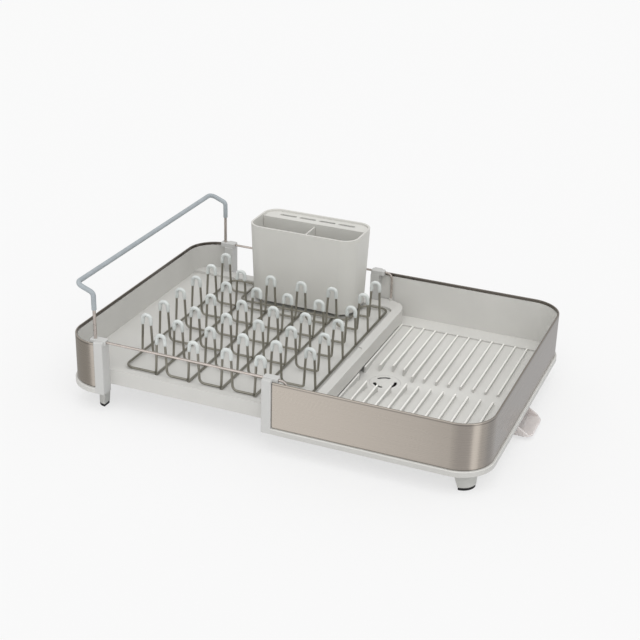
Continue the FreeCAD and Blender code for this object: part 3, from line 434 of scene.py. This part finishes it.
def moulded_finish(name, colour, roughness, glow=0.0, painted_rib_zone=None):
    """Moulded plastic: faint clouds, and the fine texture of a spark-eroded mould. glow is the share
    of light that the plastic lets in and scatters. The last argument, if given, is the zone (x end, y
    half width, lowest and highest z, in metres) where a highlight is painted on the ribs, colour *
    gain, and shade is painted on the upright faces below them."""
    finish, surface, place, tone = varied_finish(name, colour, roughness, MOULDED)
    # Painted highlight on the ribs, and painted shade on the upright faces lower than their tops
    if painted_rib_zone:
        tone = finish.tint(finish.rib_highlight_zone(place, *painted_rib_zone), tone, scaled(colour, RIB_HIGHLIGHT_GAIN))
        tone = finish.tint(finish.upright_shade_zone(place, painted_rib_zone[3]), tone, scaled(colour, UPRIGHT_SHADE_GAIN))
        finish.put(surface.inputs["Base Color"], tone)
    surface.inputs["Specular IOR Level"].default_value = PLASTIC_GLOSS
    surface.inputs["Subsurface Weight"].default_value = glow
    surface.inputs["Subsurface Radius"].default_value = PLASTIC_SCATTER
    surface.inputs["Subsurface Scale"].default_value = PLASTIC_DEPTH
    return finish.owner


def rubber_finish(name, colour, roughness, scatter=0.0):
    """Soft rubber: a matt colour with faint clouds and a fine dust in its roughness and relief."""
    finish, surface, *_ = varied_finish(name, colour, roughness, RUBBER)
    surface.inputs["Subsurface Weight"].default_value = scatter
    surface.inputs["Subsurface Radius"].default_value = RUBBER_SCATTER
    surface.inputs["Subsurface Scale"].default_value = RUBBER_DEPTH
    return finish.owner


def wire_finish(name, colour, roughness):
    """Drawn wire: bright metal, a little duller in patches, with the fine grain that the die left."""
    finish, surface, *_ = varied_finish(name, colour, roughness, WIRE)
    surface.inputs["Metallic"].default_value = 1.0
    return finish.owner


def brushed_finish(name, colour, roughness):
    """Brushed sheet: noise drawn out along the band is the grain, in its colour, its roughness and
    its bump. The map's u runs along the band and v round its section, both in metres, and the part
    of the section past the fold is darkened as painted shade. Thin lines of painted shade run under
    the fold, along the bottom and along the front end, where the sheet meets the mouldings."""
    finish, surface = new_finish(name)
    place = finish.node("ShaderNodeUVMap", {"uv_map": "grain"})
    fine = finish.noise(finish.stretched(place, FINE_GRAIN), 1.0, PLAIN_DETAIL)
    coarse = finish.noise(finish.stretched(place, COARSE_GRAIN), 1.0, RICH_DETAIL)
    broad = finish.noise(finish.stretched(place, BROAD_GRAIN), 1.0, PLAIN_DETAIL)
    along = finish.part(place, 0)
    across = finish.part(place, 1)
    # Painted shade: thin dark lines under the fold, along the bottom and along the front end
    shade_under_fold = finish.step(across, *SHADE_UNDER_FOLD_FROM) * (1 - finish.step(across, *SHADE_UNDER_FOLD_TO))
    foot = 1 - finish.step(across, *FOOT_SHADE_LINE)
    end = 1 - finish.step(along, *END_SHADE_LINE)
    shade_lines = (shade_under_fold * FOLD_SHADE_SHARE + foot * FOOT_SHADE_SHARE + end * END_SHADE_SHARE).held()
    streak = coarse * COARSE_COLOUR + fine * FINE_COLOUR + broad * BROAD_COLOUR
    streak = finish.step(streak, *STREAK_RANGE)
    skin = finish.tint(streak, scaled(colour, STREAK_DARK), scaled(colour, STREAK_LIGHT))
    shade_lined = finish.tint(shade_lines, skin, scaled(colour, SHADE_LINE_GAIN))
    # Painted shade on the inside of the hem, past the fold
    inside = finish.step(across, *INSIDE_FROM)
    finish.put(surface.inputs["Base Color"], finish.tint(inside, shade_lined, scaled(colour, INSIDE_SHADE_GAIN)))
    wear = (coarse - 0.5) * STREAK_WEAR + (fine - 0.5) * STREAK_WEAR + roughness
    fold = finish.step(across, *FOLD_FROM)
    finish.put(surface.inputs["Roughness"], wear - fold * FOLD_SHINE)
    height = fine * FINE_RELIEF + coarse * COARSE_RELIEF
    finish.relief(surface, STREAK_BUMP, STREAK_DEPTH, height)
    surface.inputs["Metallic"].default_value = 1.0
    surface.inputs["Anisotropic"].default_value = SHINE_STRETCH
    surface.inputs["Anisotropic Rotation"].default_value = SHINE_TURN
    return finish.owner


# Settings
def colour_setting(name, about, seen):
    """Colour that a user may change, given as it is seen on a screen."""
    return FloatVectorProperty(name=name, description=about, subtype="COLOR", size=3, min=0.0, max=1.0,
                               default=linear(*seen))


class DishRackMetal(bpy.types.PropertyGroup):
    """Sheet and wire."""

    sheet: colour_setting("Sheet", "Colour that the brushed steel bands reflect", (186, 178, 169))
    rails: colour_setting("Rails", "Colour of the rails and of the handle's wire", (205, 196, 190))
    rack: colour_setting("Rack", "Colour of the plate rack's wire", (158, 155, 145))
    thickness: FloatProperty(name="Thickness", description="Thickness of the steel sheet", unit="LENGTH",
                             default=0.0008, min=0.0003, max=0.0012)
    fold: FloatProperty(name="Fold", description="Outside radius of the fold along the top of a band",
                        unit="LENGTH", default=0.0011, min=0.0008, max=0.0013)
    sides: IntProperty(name="Sides", description="Faces round a wire", default=16, min=8, max=32)


class DishRackPlastic(bpy.types.PropertyGroup):
    """Mouldings and rubber."""

    trays: colour_setting("Trays", "Colour of the two trays", (208, 207, 203))
    # The posts and caps share the trays' plastic; their colour is set darker as painted shade
    posts: colour_setting("Posts", "Colour of the posts and caps", (194, 194, 192))
    # The legs share the trays' plastic; their colour is set darker as painted shade
    legs: colour_setting("Legs", "Colour of the four legs", (190, 190, 186))
    holder: colour_setting("Holder", "Colour of the cutlery holder", (207, 206, 201))
    tips: colour_setting("Tips", "Colour of the soft tips on the prongs", (207, 211, 209))
    sleeve: colour_setting("Sleeve", "Colour of the handle's soft sleeve", (162, 169, 173))
    pads: colour_setting("Pads", "Colour of the rubber pads under the legs", (12, 12, 13))
    spout: colour_setting("Spout", "Colour of the spout", (209, 203, 201))
    edge: FloatProperty(name="Edge", description="Radius of the mouldings' outer edges", unit="LENGTH",
                        default=0.0005, min=0.0001, max=0.001)


class DishRackStage(bpy.types.PropertyGroup):
    """Floor and light."""

    floor: colour_setting("Floor", "Colour of the floor and of the background", (245, 245, 245))
    sky: FloatProperty(name="Sky", description="Strength of the even light from all round", default=0.8,
                       min=0.0, max=2.0)
    key: FloatProperty(name="Key", description="Strength of the soft main light", default=1.25,
                       min=0.0, max=5.0)


class PieceOperator:
    """What every operator here shares: it works on the open scene and can be undone."""

    bl_options = {"REGISTER", "UNDO"}


def metal():
    """Settings of the sheet and the wire."""
    return bpy.context.scene.dish_rack_metal


def plastic():
    """Settings of the mouldings and the rubber."""
    return bpy.context.scene.dish_rack_plastic


# Stage
# Camera: place and aim in metres, lens and sensor in millimetres
CAMERA_PLACE = (0.54130, -1.36425, 0.77471)
CAMERA_AIM = (-0.011522, 0.0, 0.090245)
CAMERA_ROLL = math.radians(1.59)
CAMERA_LENS = 73.73
SENSOR_WIDTH = 36.0
CAMERA_NEAR = 0.05
CAMERA_FAR = 50.0

# Floor: half its side in metres and the part of its light that it gives out. Key light: where it
# comes from and the angle that it fills, in radians
FLOOR_REACH = 4.0
FLOOR_GLOW = 0.7
KEY_FROM = (0.42, -0.62, 1.25)
KEY_SPREAD = 1.1

# Room that polished parts reflect, as colours of light. Sides: heading in degrees, inner and outer
# angle, change of the level. Above: direction, how closely a ray follows it where the change is
# full and where it is gone, and the change.
ROOM_LEVEL = (0.68, 0.675, 0.67)
ROOM_SIDES = (
    (-118, 2, 13, (0.6, 0.6, 0.6)),
    (-62, 14, 34, (-0.1, -0.1, -0.09)),
    (-24, 6, 16, (0.5, 0.5, 0.49)),
    (30, 6, 20, (-0.12, -0.12, -0.12)),
    (68, 30, 75, (-0.06, -0.04, -0.01)),
    (180, 30, 75, (-0.25, -0.25, -0.26)))
ROOM_ABOVE = (
    ((0.0, 0.0, 1.0), 0.6, -0.2, (0.25, 0.25, 0.25)),
    ((0.05, 0.87, 0.49), 0.95, 0.75, (-0.4, -0.42, -0.45)))


def room_colour(sky):
    """What polished parts reflect: one level, plus panels at the room's sides, each full within an
    inner angle of its heading and gone past an outer one, plus lighter or darker parts above."""
    heading = sky.node("ShaderNodeTexCoord", output="Generated")
    flat = sky.stretched(heading, (1.0, 1.0, 0.0))
    level = sky.node("ShaderNodeVectorMath", {"operation": "NORMALIZE"}, {0: flat})
    panels = [(heading, *panel) for panel in ROOM_ABOVE]
    for azimuth, inner, outer, gain in ROOM_SIDES:
        turn, inner, outer = (math.radians(angle) for angle in (azimuth, inner, outer))
        panels.append((level, (math.cos(turn), math.sin(turn), 0.0), math.cos(inner), math.cos(outer), gain))
    room = ROOM_LEVEL
    for seen, direction, full, none, gain in panels:
        facing = sky.node("ShaderNodeVectorMath", {"operation": "DOT_PRODUCT"}, {0: seen, 1: direction},
                          output="Value")
        share = sky.step(facing, none, full)
        panel = sky.node("ShaderNodeVectorMath", {"operation": "SCALE"}, {0: gain, "Scale": share})
        room = sky.node("ShaderNodeVectorMath", {"operation": "ADD"}, {0: room, 1: panel})
    return room


class DISHRACK_OT_stage(PieceOperator, bpy.types.Operator):
    """Camera, floor, background and lights"""

    bl_idname = "dish_rack.stage"
    bl_label = "Stage"

    def execute(self, context):
        scene = context.scene
        settings = scene.dish_rack_stage
        scene.view_settings.view_transform = "Standard"
        lens = bpy.data.cameras.new("camera")
        lens.lens = CAMERA_LENS
        lens.sensor_width = SENSOR_WIDTH
        lens.clip_start = CAMERA_NEAR
        lens.clip_end = CAMERA_FAR
        camera = bpy.data.objects.new("camera", lens)
        scene.collection.objects.link(camera)
        scene.camera = camera
        aim = Vector(CAMERA_AIM) - Vector(CAMERA_PLACE)
        turn = aim.to_track_quat("-Z", "Y").to_matrix() @ Matrix.Rotation(CAMERA_ROLL, 3, "Z")
        camera.matrix_world = Matrix.Translation(CAMERA_PLACE) @ turn.to_4x4()

        colour = tuple(settings.floor)
        ground = Finish(bpy.data.materials.new("pale floor"))
        surface = ground.tree.nodes["Principled BSDF"]
        surface.inputs["Roughness"].default_value = 0.9
        surface.inputs["Specular IOR Level"].default_value = 0.0
        surface.inputs["Emission Color"].default_value = (*colour, 1.0)
        first = ground.node("ShaderNodeLightPath", output="Is Camera Ray")
        dimmed = scaled(colour, 1 - FLOOR_GLOW)
        ground.put(surface.inputs["Base Color"], ground.tint(first, colour, dimmed))
        ground.put(surface.inputs["Emission Strength"], first * FLOOR_GLOW)
        reach = FLOOR_REACH
        mesh = bpy.data.meshes.new("floor")
        places = [(-reach, -reach, 0), (reach, -reach, 0), (reach, reach, 0), (-reach, reach, 0)]
        mesh.from_pydata(places, [], [(0, 1, 2, 3)])
        mesh.materials.append(ground.owner)
        floor = bpy.data.objects.new("floor", mesh)
        floor.visible_glossy = False
        scene.collection.objects.link(floor)

        world = bpy.data.worlds.new("studio")
        scene.world = world
        sky = Finish(world)
        background = sky.tree.nodes["Background"]
        camera_ray, glossy, transmitted = (sky.node("ShaderNodeLightPath", output=name) for name in (
            "Is Camera Ray", "Is Glossy Ray", "Is Transmission Ray"))
        level = settings.sky
        mirrored = sky.tint(glossy, (level, level, level), room_colour(sky))
        seen = (camera_ray + transmitted).held()
        sky.put(background.inputs["Color"], sky.tint(seen, mirrored, colour))

        light = bpy.data.lights.new("key", "SUN")
        light.energy = settings.key
        light.angle = KEY_SPREAD
        lamp = bpy.data.objects.new("key", light)
        lamp.rotation_mode = "QUATERNION"
        lamp.rotation_quaternion = Vector(KEY_FROM).to_track_quat("Z", "Y")
        lamp.visible_glossy = False
        scene.collection.objects.link(lamp)
        return {"FINISHED"}


# Steel bands
# Lengths in millimetres, counts of points, and distances from the open end at which the points of the
# straight lie close
CORNER_RADIUS = 40.0
SHEET_GAP = 1.8
HEM_DEPTH = 3.8
END_ROUND = 2.0
SHEET_EDGE = 0.25
SMALLEST_ROUND = 0.15
FOLD_STEPS = 7
CORNER_STEPS = 40
MIDDLE_POINTS = 5
STRAIGHT_STEP = 25.0
NEAR_END = (0.0, 0.15, 0.4, 0.8, 1.3, 2.0)
FIRST_RISE = 8.0


def band_section(low, high, thickness, fold):
    """Closed section of a hemmed sheet as (distance inwards, height): up the outside, over two
    quarter rounds, down the lip, and back inside, one thickness away."""
    width = SHEET_GAP + thickness
    turn = np.linspace(0, math.pi / 2, FOLD_STEPS)[:, None]
    quarter = np.concatenate([1 - np.cos(turn), np.sin(turn)], axis=1)
    small = max(fold - thickness, SMALLEST_ROUND)
    lip_end = high - HEM_DEPTH
    out_round = np.array([0, high - fold]) + quarter * fold
    in_round = np.array([width, high - fold]) + (quarter * fold * (-1, 1))[::-1]
    under_in = np.array([width - thickness, high - thickness - small]) + quarter * small * (-1, 1)
    under_out = np.array([thickness, high - thickness - small]) + (quarter * small)[::-1]
    edge = SHEET_EDGE
    return np.concatenate([
        [[0, low + edge]], [[0, low + FIRST_RISE]], [[0, (low + high) / 2]], out_round, in_round,
        [[width, lip_end + edge], [width - edge, lip_end], [width - thickness, lip_end + edge]],
        under_in, under_out, [[thickness, low + edge], [thickness - edge, low], [edge, low]]])


def band(x_open, x_closed, half, low, high, thickness, fold):
    """Hemmed sheet carried round a D-shaped plan: point (i, j) is plan i + distance j * inward
    normal i, at height j, and the bottom edge rises at both ends by a quarter round."""
    side = 1 if x_closed > x_open else -1
    corner_x = x_closed - side * CORNER_RADIUS
    corner_y = half - CORNER_RADIUS
    turn = np.linspace(0, math.pi / 2, CORNER_STEPS)
    reach = abs(corner_x - x_open)
    far = np.linspace(NEAR_END[-1], reach, max(3, round(reach / STRAIGHT_STEP)))
    run = np.concatenate([NEAR_END, far[1:-1]])
    straight = x_open + side * run
    arc_x = corner_x + side * CORNER_RADIUS * np.sin(turn)
    arc = np.stack([arc_x, -corner_y - CORNER_RADIUS * np.cos(turn)], 1)
    lean = np.stack([side * np.sin(turn), -np.cos(turn)], 1)
    front = np.stack([straight, np.full(len(run), -half)], 1)
    middle_y = np.linspace(-corner_y, corner_y, MIDDLE_POINTS + 2)[1:-1]
    middle = np.stack([np.full(MIDDLE_POINTS, x_closed), middle_y], 1)
    mirror = np.array([1, -1])
    plan = np.concatenate([front, arc, middle, (arc * mirror)[::-1], (front * mirror)[::-1]])
    out = np.concatenate([
        np.tile([0.0, -1.0], (len(front), 1)), lean, np.tile([float(side), 0.0], (MIDDLE_POINTS, 1)),
        (lean * mirror)[::-1], np.tile([0.0, 1.0], (len(front), 1))])
    section = band_section(low, high, thickness, fold)
    length = np.concatenate([[0], np.cumsum(np.linalg.norm(np.diff(plan, axis=0), axis=1))])
    to_end = np.minimum(length, length[-1] - length)
    rise = END_ROUND - np.sqrt(END_ROUND ** 2 - np.clip(END_ROUND - to_end, 0, END_ROUND) ** 2)
    height = section[None, :, 1] + rise[:, None] * (section[None, :, 1] < low + 2 * SHEET_EDGE)
    flat = plan[:, None] - out[:, None] * section[None, :, :1]
    points = np.concatenate([flat, height[:, :, None]], axis=2)
    rows, columns = points.shape[:2]
    faces = cell_faces(rows, columns, close_columns=True)
    first = np.arange(columns)
    last = first + (rows - 1) * columns
    if side > 0:
        faces, first, last = faces[:, ::-1], first[::-1], last[::-1]
    faces = faces.tolist() + [first.tolist(), last[::-1].tolist()]
    around = np.concatenate([[0], np.cumsum(np.linalg.norm(np.diff(section, axis=0), axis=1))])
    grain = np.stack(np.broadcast_arrays(length[:, None], around[None, :]), -1).reshape(-1, 2) * MM
    return points.reshape(-1, 3), faces, grain


class DISHRACK_OT_steel_bands(PieceOperator, bpy.types.Operator):
    """Brushed steel bands round the ends of both trays"""

    bl_idname = "dish_rack.steel_bands"
    bl_label = "Steel bands"

    def execute(self, context):
        settings = metal()
        finish = brushed_finish("brushed steel", tuple(settings.sheet), roughness=0.29)
        for body in ("outer", "inner"):
            node = body + "_steel_band"
            low, high = corners(node)
            ends = (low[0], high[0]) if body == "outer" else (high[0], low[0])
            sheet = (settings.thickness / MM, settings.fold / MM)
            points, faces, grain = band(*ends, high[1], low[2], high[2], *sheet)
            make_piece(body + "_brushed_sheet", [(points, faces)], finish, body, [node],
                       sharp=40, grain=grain)
        return {"FINISHED"}


# Trays, posts, caps and legs
# Zone of the drip tray's ribs in metres, where highlight and shade are painted: x end, y half width, lowest
# and highest z
RIB_ZONE = (0.2305, 0.1492, 0.0308, 0.0338)
# The sliding tray's colour is the trays' colour darkened by this gain, as painted shade
DECK_SHADE_GAIN = 0.93
SMALL_EDGE = 0.3


class DISHRACK_OT_trays(PieceOperator, bpy.types.Operator):
    """Drip tray and sliding tray"""

    bl_idname = "dish_rack.trays"
    bl_label = "Trays"

    def execute(self, context):
        settings = plastic()
        colour = tuple(settings.trays)
        ribbed = moulded_finish("ribbed tray", colour, roughness=0.4, painted_rib_zone=RIB_ZONE)
        # The sliding tray is the same plastic, darkened as painted shade
        plain = moulded_finish("moulded tray", scaled(colour, DECK_SHADE_GAIN), roughness=0.42)
        for node, finish in (("outer_tray", ribbed), ("inner_tray", plain)):
            dress(node, finish, settings.edge / MM)
        return {"FINISHED"}


class DISHRACK_OT_posts(PieceOperator, bpy.types.Operator):
    """Posts at the trays' open ends and the caps on them"""

    bl_idname = "dish_rack.posts"
    bl_label = "Posts and caps"

    def execute(self, context):
        settings = plastic()
        finish = moulded_finish("moulded post", tuple(settings.posts), roughness=0.4)
        for end in ("front", "rear"):
            for tray in ("outer", "inner"):
                dress(f"{tray}_post_{end}", finish, settings.edge / MM)
                dress(f"{tray}_cap_{end}", finish, settings.edge / MM)
        return {"FINISHED"}


class DISHRACK_OT_legs(PieceOperator, bpy.types.Operator):
    """Four legs and their rubber pads"""

    bl_idname = "dish_rack.legs"
    bl_label = "Legs and pads"

    def execute(self, context):
        settings = plastic()
        leg = moulded_finish("moulded leg", tuple(settings.legs), roughness=0.45)
        rubber = rubber_finish("black rubber", tuple(settings.pads), roughness=0.7)
        for end in ("front", "rear"):
            for tray in ("outer", "inner"):
                dress(f"{tray}_foot_{end}", leg, settings.edge / MM)
                dress(f"{tray}_pad_{end}", rubber, SMALL_EDGE)
        return {"FINISHED"}


class DISHRACK_OT_drain(PieceOperator, bpy.types.Operator):
    """Strainer, spout and the ring that holds the spout"""

    bl_idname = "dish_rack.drain"
    bl_label = "Drain and spout"

    def execute(self, context):
        settings = plastic()
        disc = moulded_finish("moulded strainer", tuple(settings.trays), roughness=0.4)
        trough = moulded_finish("moulded spout", tuple(settings.spout), roughness=0.4, glow=0.6)
        dress("drain_strainer", disc, SMALL_EDGE)
        dress("spout", trough, settings.edge / MM)
        dress("spout_retainer", trough, SMALL_EDGE)
        return {"FINISHED"}


# Rails and handle
# Lengths in millimetres
RAIL_RADIUS = 1.5
RAIL_BEND = 8.0
HANDLE_RADIUS = 2.0
SLEEVE_RADIUS = 3.0
SLEEVE_END = 1.0
SLEEVE_MORE_SIDES = 4
HANDLE_KNEE_Z = 153.3
HANDLE_KNEE_BEND = 6.0
HANDLE_BEND = 8.0


class DISHRACK_OT_rails(PieceOperator, bpy.types.Operator):
    """Wire rails along the front and the rear"""

    bl_idname = "dish_rack.rails"
    bl_label = "Rails"

    def execute(self, context):
        settings = metal()
        finish = wire_finish("bright wire", tuple(settings.rails), roughness=0.26)
        for end in ("front", "rear"):
            node = "rail_" + end
            low, high = corners(node)
            y = (low[1] + high[1]) / 2
            z = high[2] - RAIL_RADIUS
            x = high[0] - RAIL_RADIUS
            route = bent([(low[0], y, z), (x, y, z), (x, y, low[2])], [RAIL_BEND])
            make_piece("bright_" + node, [tube(route, RAIL_RADIUS, settings.sides)], finish, "inner",
                       [node])
        return {"FINISHED"}


class DISHRACK_OT_handle(PieceOperator, bpy.types.Operator):
    """Wire handle at the steel end of the sliding tray, with its soft sleeve"""

    bl_idname = "dish_rack.handle"
    bl_label = "Handle"

    def execute(self, context):
        settings = metal()
        low, high = corners("handle_wire")
        x_leg = high[0] - HANDLE_RADIUS
        x_bar = low[0] + HANDLE_RADIUS
        y = high[1] - HANDLE_RADIUS
        z = high[2] - HANDLE_RADIUS
        bends = [HANDLE_KNEE_BEND, HANDLE_BEND, HANDLE_BEND, HANDLE_KNEE_BEND]

        def route(z_low):
            """Up the front leg, out to the bar, along it and down the rear leg."""
            return bent([(x_leg, -y, z_low), (x_leg, -y, HANDLE_KNEE_Z), (x_bar, -y, z),
                         (x_bar, y, z), (x_leg, y, HANDLE_KNEE_Z), (x_leg, y, z_low)], bends)

        wire = wire_finish("handle wire", tuple(settings.rails), roughness=0.28)
        make_piece("handle_bow", [tube(route(low[2]), HANDLE_RADIUS, settings.sides)], wire, "inner",
                   ["handle_wire"])
        soft = rubber_finish("sleeve rubber", tuple(plastic().sleeve), roughness=0.45)
        sleeve_low = corners("handle_sleeve")[0][2]
        sleeve = domed(route(sleeve_low), SLEEVE_RADIUS, HANDLE_RADIUS, SLEEVE_END)
        grip = tube(*sleeve, settings.sides + SLEEVE_MORE_SIDES)
        make_piece("handle_grip", [grip], soft, "inner", ["handle_sleeve"])
        return {"FINISHED"}


# Plate rack
# Lengths in millimetres
WIRE_RADIUS = 1.5
PITCH = 43.2
PRONG_WIDTH = 15.0
PRONG_LEAN = 2.5
PRONG_TOP_BEND = 4.8
PRONG_RIGHT_BEND = 6.5
PRONG_LEFT_BEND = 3.0
FRAME_BEND = 12.0
FRAME_END = 22.0
TIP_RADIUS = 2.4
TIP_LENGTH = 15.0
TIP_TAPER = 4.0
TIP_SIDES = 16
CUT_RADIUS = 0.3
CUT_REACH = 0.8
NOTCH_LEFT_GAP = 7.0
NOTCH_RIGHT_GAP = 2.5
NOTCH_FRONT_GAP = 6.0
COLUMNS = 6
ROWS = 7


def rack_places():
    """Columns, rows and heights of the rack's wires, read from the frame."""
    low, high = corners("prong_row_2")
    frame_low, frame_high = corners("rack_frame")
    x = low[0] + WIRE_RADIUS + PITCH * np.arange(COLUMNS)
    y = (low[1] + high[1]) / 2 + PITCH * np.arange(-1, ROWS - 1)
    return {
        "x": x,
        "y": y,
        "row_z": (frame_low[2] + frame_high[2]) / 2,
        "top_z": high[2] - WIRE_RADIUS,
        "frame_x1": x[-1] + PRONG_WIDTH,
        "frame_y1": frame_high[1] - WIRE_RADIUS,
    }


def hairpin(x, y, places):
    """Four corners of a prong: up, over the top and down."""
    low, high = places["row_z"], places["top_z"]
    right = x + PRONG_WIDTH
    return [(x, y, low), (x + PRONG_LEAN, y, high), (right - PRONG_LEAN, y, high), (right, y, low)]


def prong_run(columns, y, places):
    """Corners and bends of a row: prongs joined by level runs."""
    points = [corner for x in columns for corner in hairpin(x, y, places)]
    bends = [PRONG_LEFT_BEND, PRONG_TOP_BEND, PRONG_TOP_BEND, PRONG_RIGHT_BEND] * len(columns)
    return points, bends


def notch_places():
    """Left, right and front of the frame's notch for the cutlery holder."""
    low, high = corners("cutlery_cup")
    return low[0] - NOTCH_LEFT_GAP, high[0] - NOTCH_RIGHT_GAP, low[1] - NOTCH_FRONT_GAP


class DISHRACK_OT_plate_rack(PieceOperator, bpy.types.Operator):
    """Lift-out rack: frame wire, seven rows of prongs and four rails under them"""

    bl_idname = "dish_rack.plate_rack"
    bl_label = "Plate rack"

    def execute(self, context):
        settings = metal()
        finish = wire_finish("rack wire", tuple(settings.rack), roughness=0.3)
        places = rack_places()
        x, y, low = places["x"], places["y"], places["row_z"]
        x1, y1 = places["frame_x1"], places["frame_y1"]
        notch_x0, notch_x1, notch_y = notch_places()
        end_y = y[0] + FRAME_END

        def wire(points, bends):
            return tube(bent(points, bends), WIRE_RADIUS, settings.sides)

        outline = [(x[0], end_y, low), (x[0], y1, low), (notch_x0, y1, low), (notch_x0, notch_y, low),
                   (notch_x1, notch_y, low), (notch_x1, y1, low), (x1, y1, low), (x1, end_y, low)]
        make_piece("rack_outline", [wire(outline, [FRAME_BEND] * 6)], finish, "plate_rack",
                   ["rack_frame"])
        points, bends = prong_run(x[1:-1], y[0], places)
        points = [(x[0], end_y, low), (x[0], y[0], low)] + points + [(x1, y[0], low), (x1, end_y, low)]
        rows = [[wire(points, [FRAME_BEND] + bends + [FRAME_BEND])]]
        for row_y in y[1:-1]:
            points, bends = prong_run(x, row_y, places)
            rows.append([wire(points, bends[1:-1])])
        left = hairpin(x[0], y[-1], places) + [(notch_x0, y[-1], low)]
        right = [(notch_x1, y[-1], low)] + hairpin(x[-1], y[-1], places)
        tops = [PRONG_TOP_BEND, PRONG_TOP_BEND]
        rows.append([wire(left, tops + [PRONG_RIGHT_BEND]), wire(right, [PRONG_LEFT_BEND] + tops)])
        for number, parts in enumerate(rows, start=1):
            make_piece(f"prong_wire_{number}", parts, finish, "plate_rack",
                       [f"prong_row_{number}"])
        for number in range(1, COLUMNS - 1):
            node = f"rack_rail_{number}"
            start, stop = corners(node)
            centre = (start + stop) / 2
            route = np.array([(centre[0], start[1], centre[2]), (centre[0], stop[1], centre[2])])
            route, radii = domed(route, WIRE_RADIUS, CUT_RADIUS, CUT_REACH)
            make_piece(f"under_wire_{number}", [tube(route, radii, settings.sides)], finish, "plate_rack",
                       [node])
        return {"FINISHED"}


class DISHRACK_OT_tips(PieceOperator, bpy.types.Operator):
    """Soft sleeves over the tops of the prongs"""

    bl_idname = "dish_rack.tips"
    bl_label = "Soft tips"

    def execute(self, context):
        finish = rubber_finish("tip rubber", tuple(plastic().tips), roughness=0.5, scatter=0.25)
        places = rack_places()
        x, y, top = places["x"], places["y"], places["top_z"]
        low_z = top + TIP_RADIUS - TIP_LENGTH
        shift = PRONG_LEAN * (low_z - places["row_z"]) / (top - places["row_z"])
        columns = [x[1:-1]] + [x] * (ROWS - 2) + [x[[0, -1]]]
        for number, (row_x, row_y) in enumerate(zip(columns, y), start=1):
            parts = []
            for left in row_x:
                route = bent([(left + shift, row_y, low_z), (left + PRONG_LEAN, row_y, top),
                              (left + PRONG_WIDTH - PRONG_LEAN, row_y, top),
                              (left + PRONG_WIDTH - shift, row_y, low_z)], [PRONG_TOP_BEND, PRONG_TOP_BEND])
                parts.append(tube(*domed(route, TIP_RADIUS, WIRE_RADIUS, TIP_TAPER), TIP_SIDES))
            make_piece(f"soft_tips_{number}", parts, finish, "plate_rack",
                       [f"tips_row_{number}"])
        return {"FINISHED"}


# Cutlery holder
class DISHRACK_OT_holder(PieceOperator, bpy.types.Operator):
    """Cutlery cup, its divider and the knife guard"""

    bl_idname = "dish_rack.holder"
    bl_label = "Cutlery holder"

    def execute(self, context):
        settings = plastic()
        finish = moulded_finish("moulded holder", tuple(settings.holder), roughness=0.5)
        for node in ("cutlery_cup", "cutlery_divider", "knife_guard"):
            dress(node, finish, settings.edge / MM)
        return {"FINISHED"}


STEPS = (DISHRACK_OT_stage, DISHRACK_OT_steel_bands, DISHRACK_OT_trays, DISHRACK_OT_posts, DISHRACK_OT_legs,
         DISHRACK_OT_drain, DISHRACK_OT_rails, DISHRACK_OT_handle, DISHRACK_OT_plate_rack, DISHRACK_OT_tips,
         DISHRACK_OT_holder)


class DISHRACK_PT_panel(bpy.types.Panel):
    """Lists the settings and the steps in order."""

    bl_idname = "DISHRACK_PT_panel"
    bl_label = "Dish Rack"
    bl_space_type = "VIEW_3D"
    bl_region_type = "UI"
    bl_category = "Dish Rack"

    def draw(self, context):
        scene = context.scene
        for settings in (scene.dish_rack_metal, scene.dish_rack_plastic, scene.dish_rack_stage):
            box = self.layout.box()
            for name in settings.__annotations__:
                box.prop(settings, name)
        for step in STEPS:
            self.layout.operator(step.bl_idname)


GROUPS = {
    "dish_rack_metal": DishRackMetal,
    "dish_rack_plastic": DishRackPlastic,
    "dish_rack_stage": DishRackStage,
}


def register():
    """Add the settings, the operators and the panel."""
    for name, group in GROUPS.items():
        bpy.utils.register_class(group)
        setattr(bpy.types.Scene, name, PointerProperty(type=group))
    for part in (*STEPS, DISHRACK_PT_panel):
        bpy.utils.register_class(part)


def unregister():
    """Take them away again."""
    for part in (DISHRACK_PT_panel, *reversed(STEPS)):
        bpy.utils.unregister_class(part)
    for name, group in GROUPS.items():
        delattr(bpy.types.Scene, name)
        bpy.utils.unregister_class(group)


def main():
    """Run every step."""
    register()
    for step in STEPS:
        space, name = step.bl_idname.split(".")
        getattr(getattr(bpy.ops, space), name)()


if __name__ == "__main__":
    main()
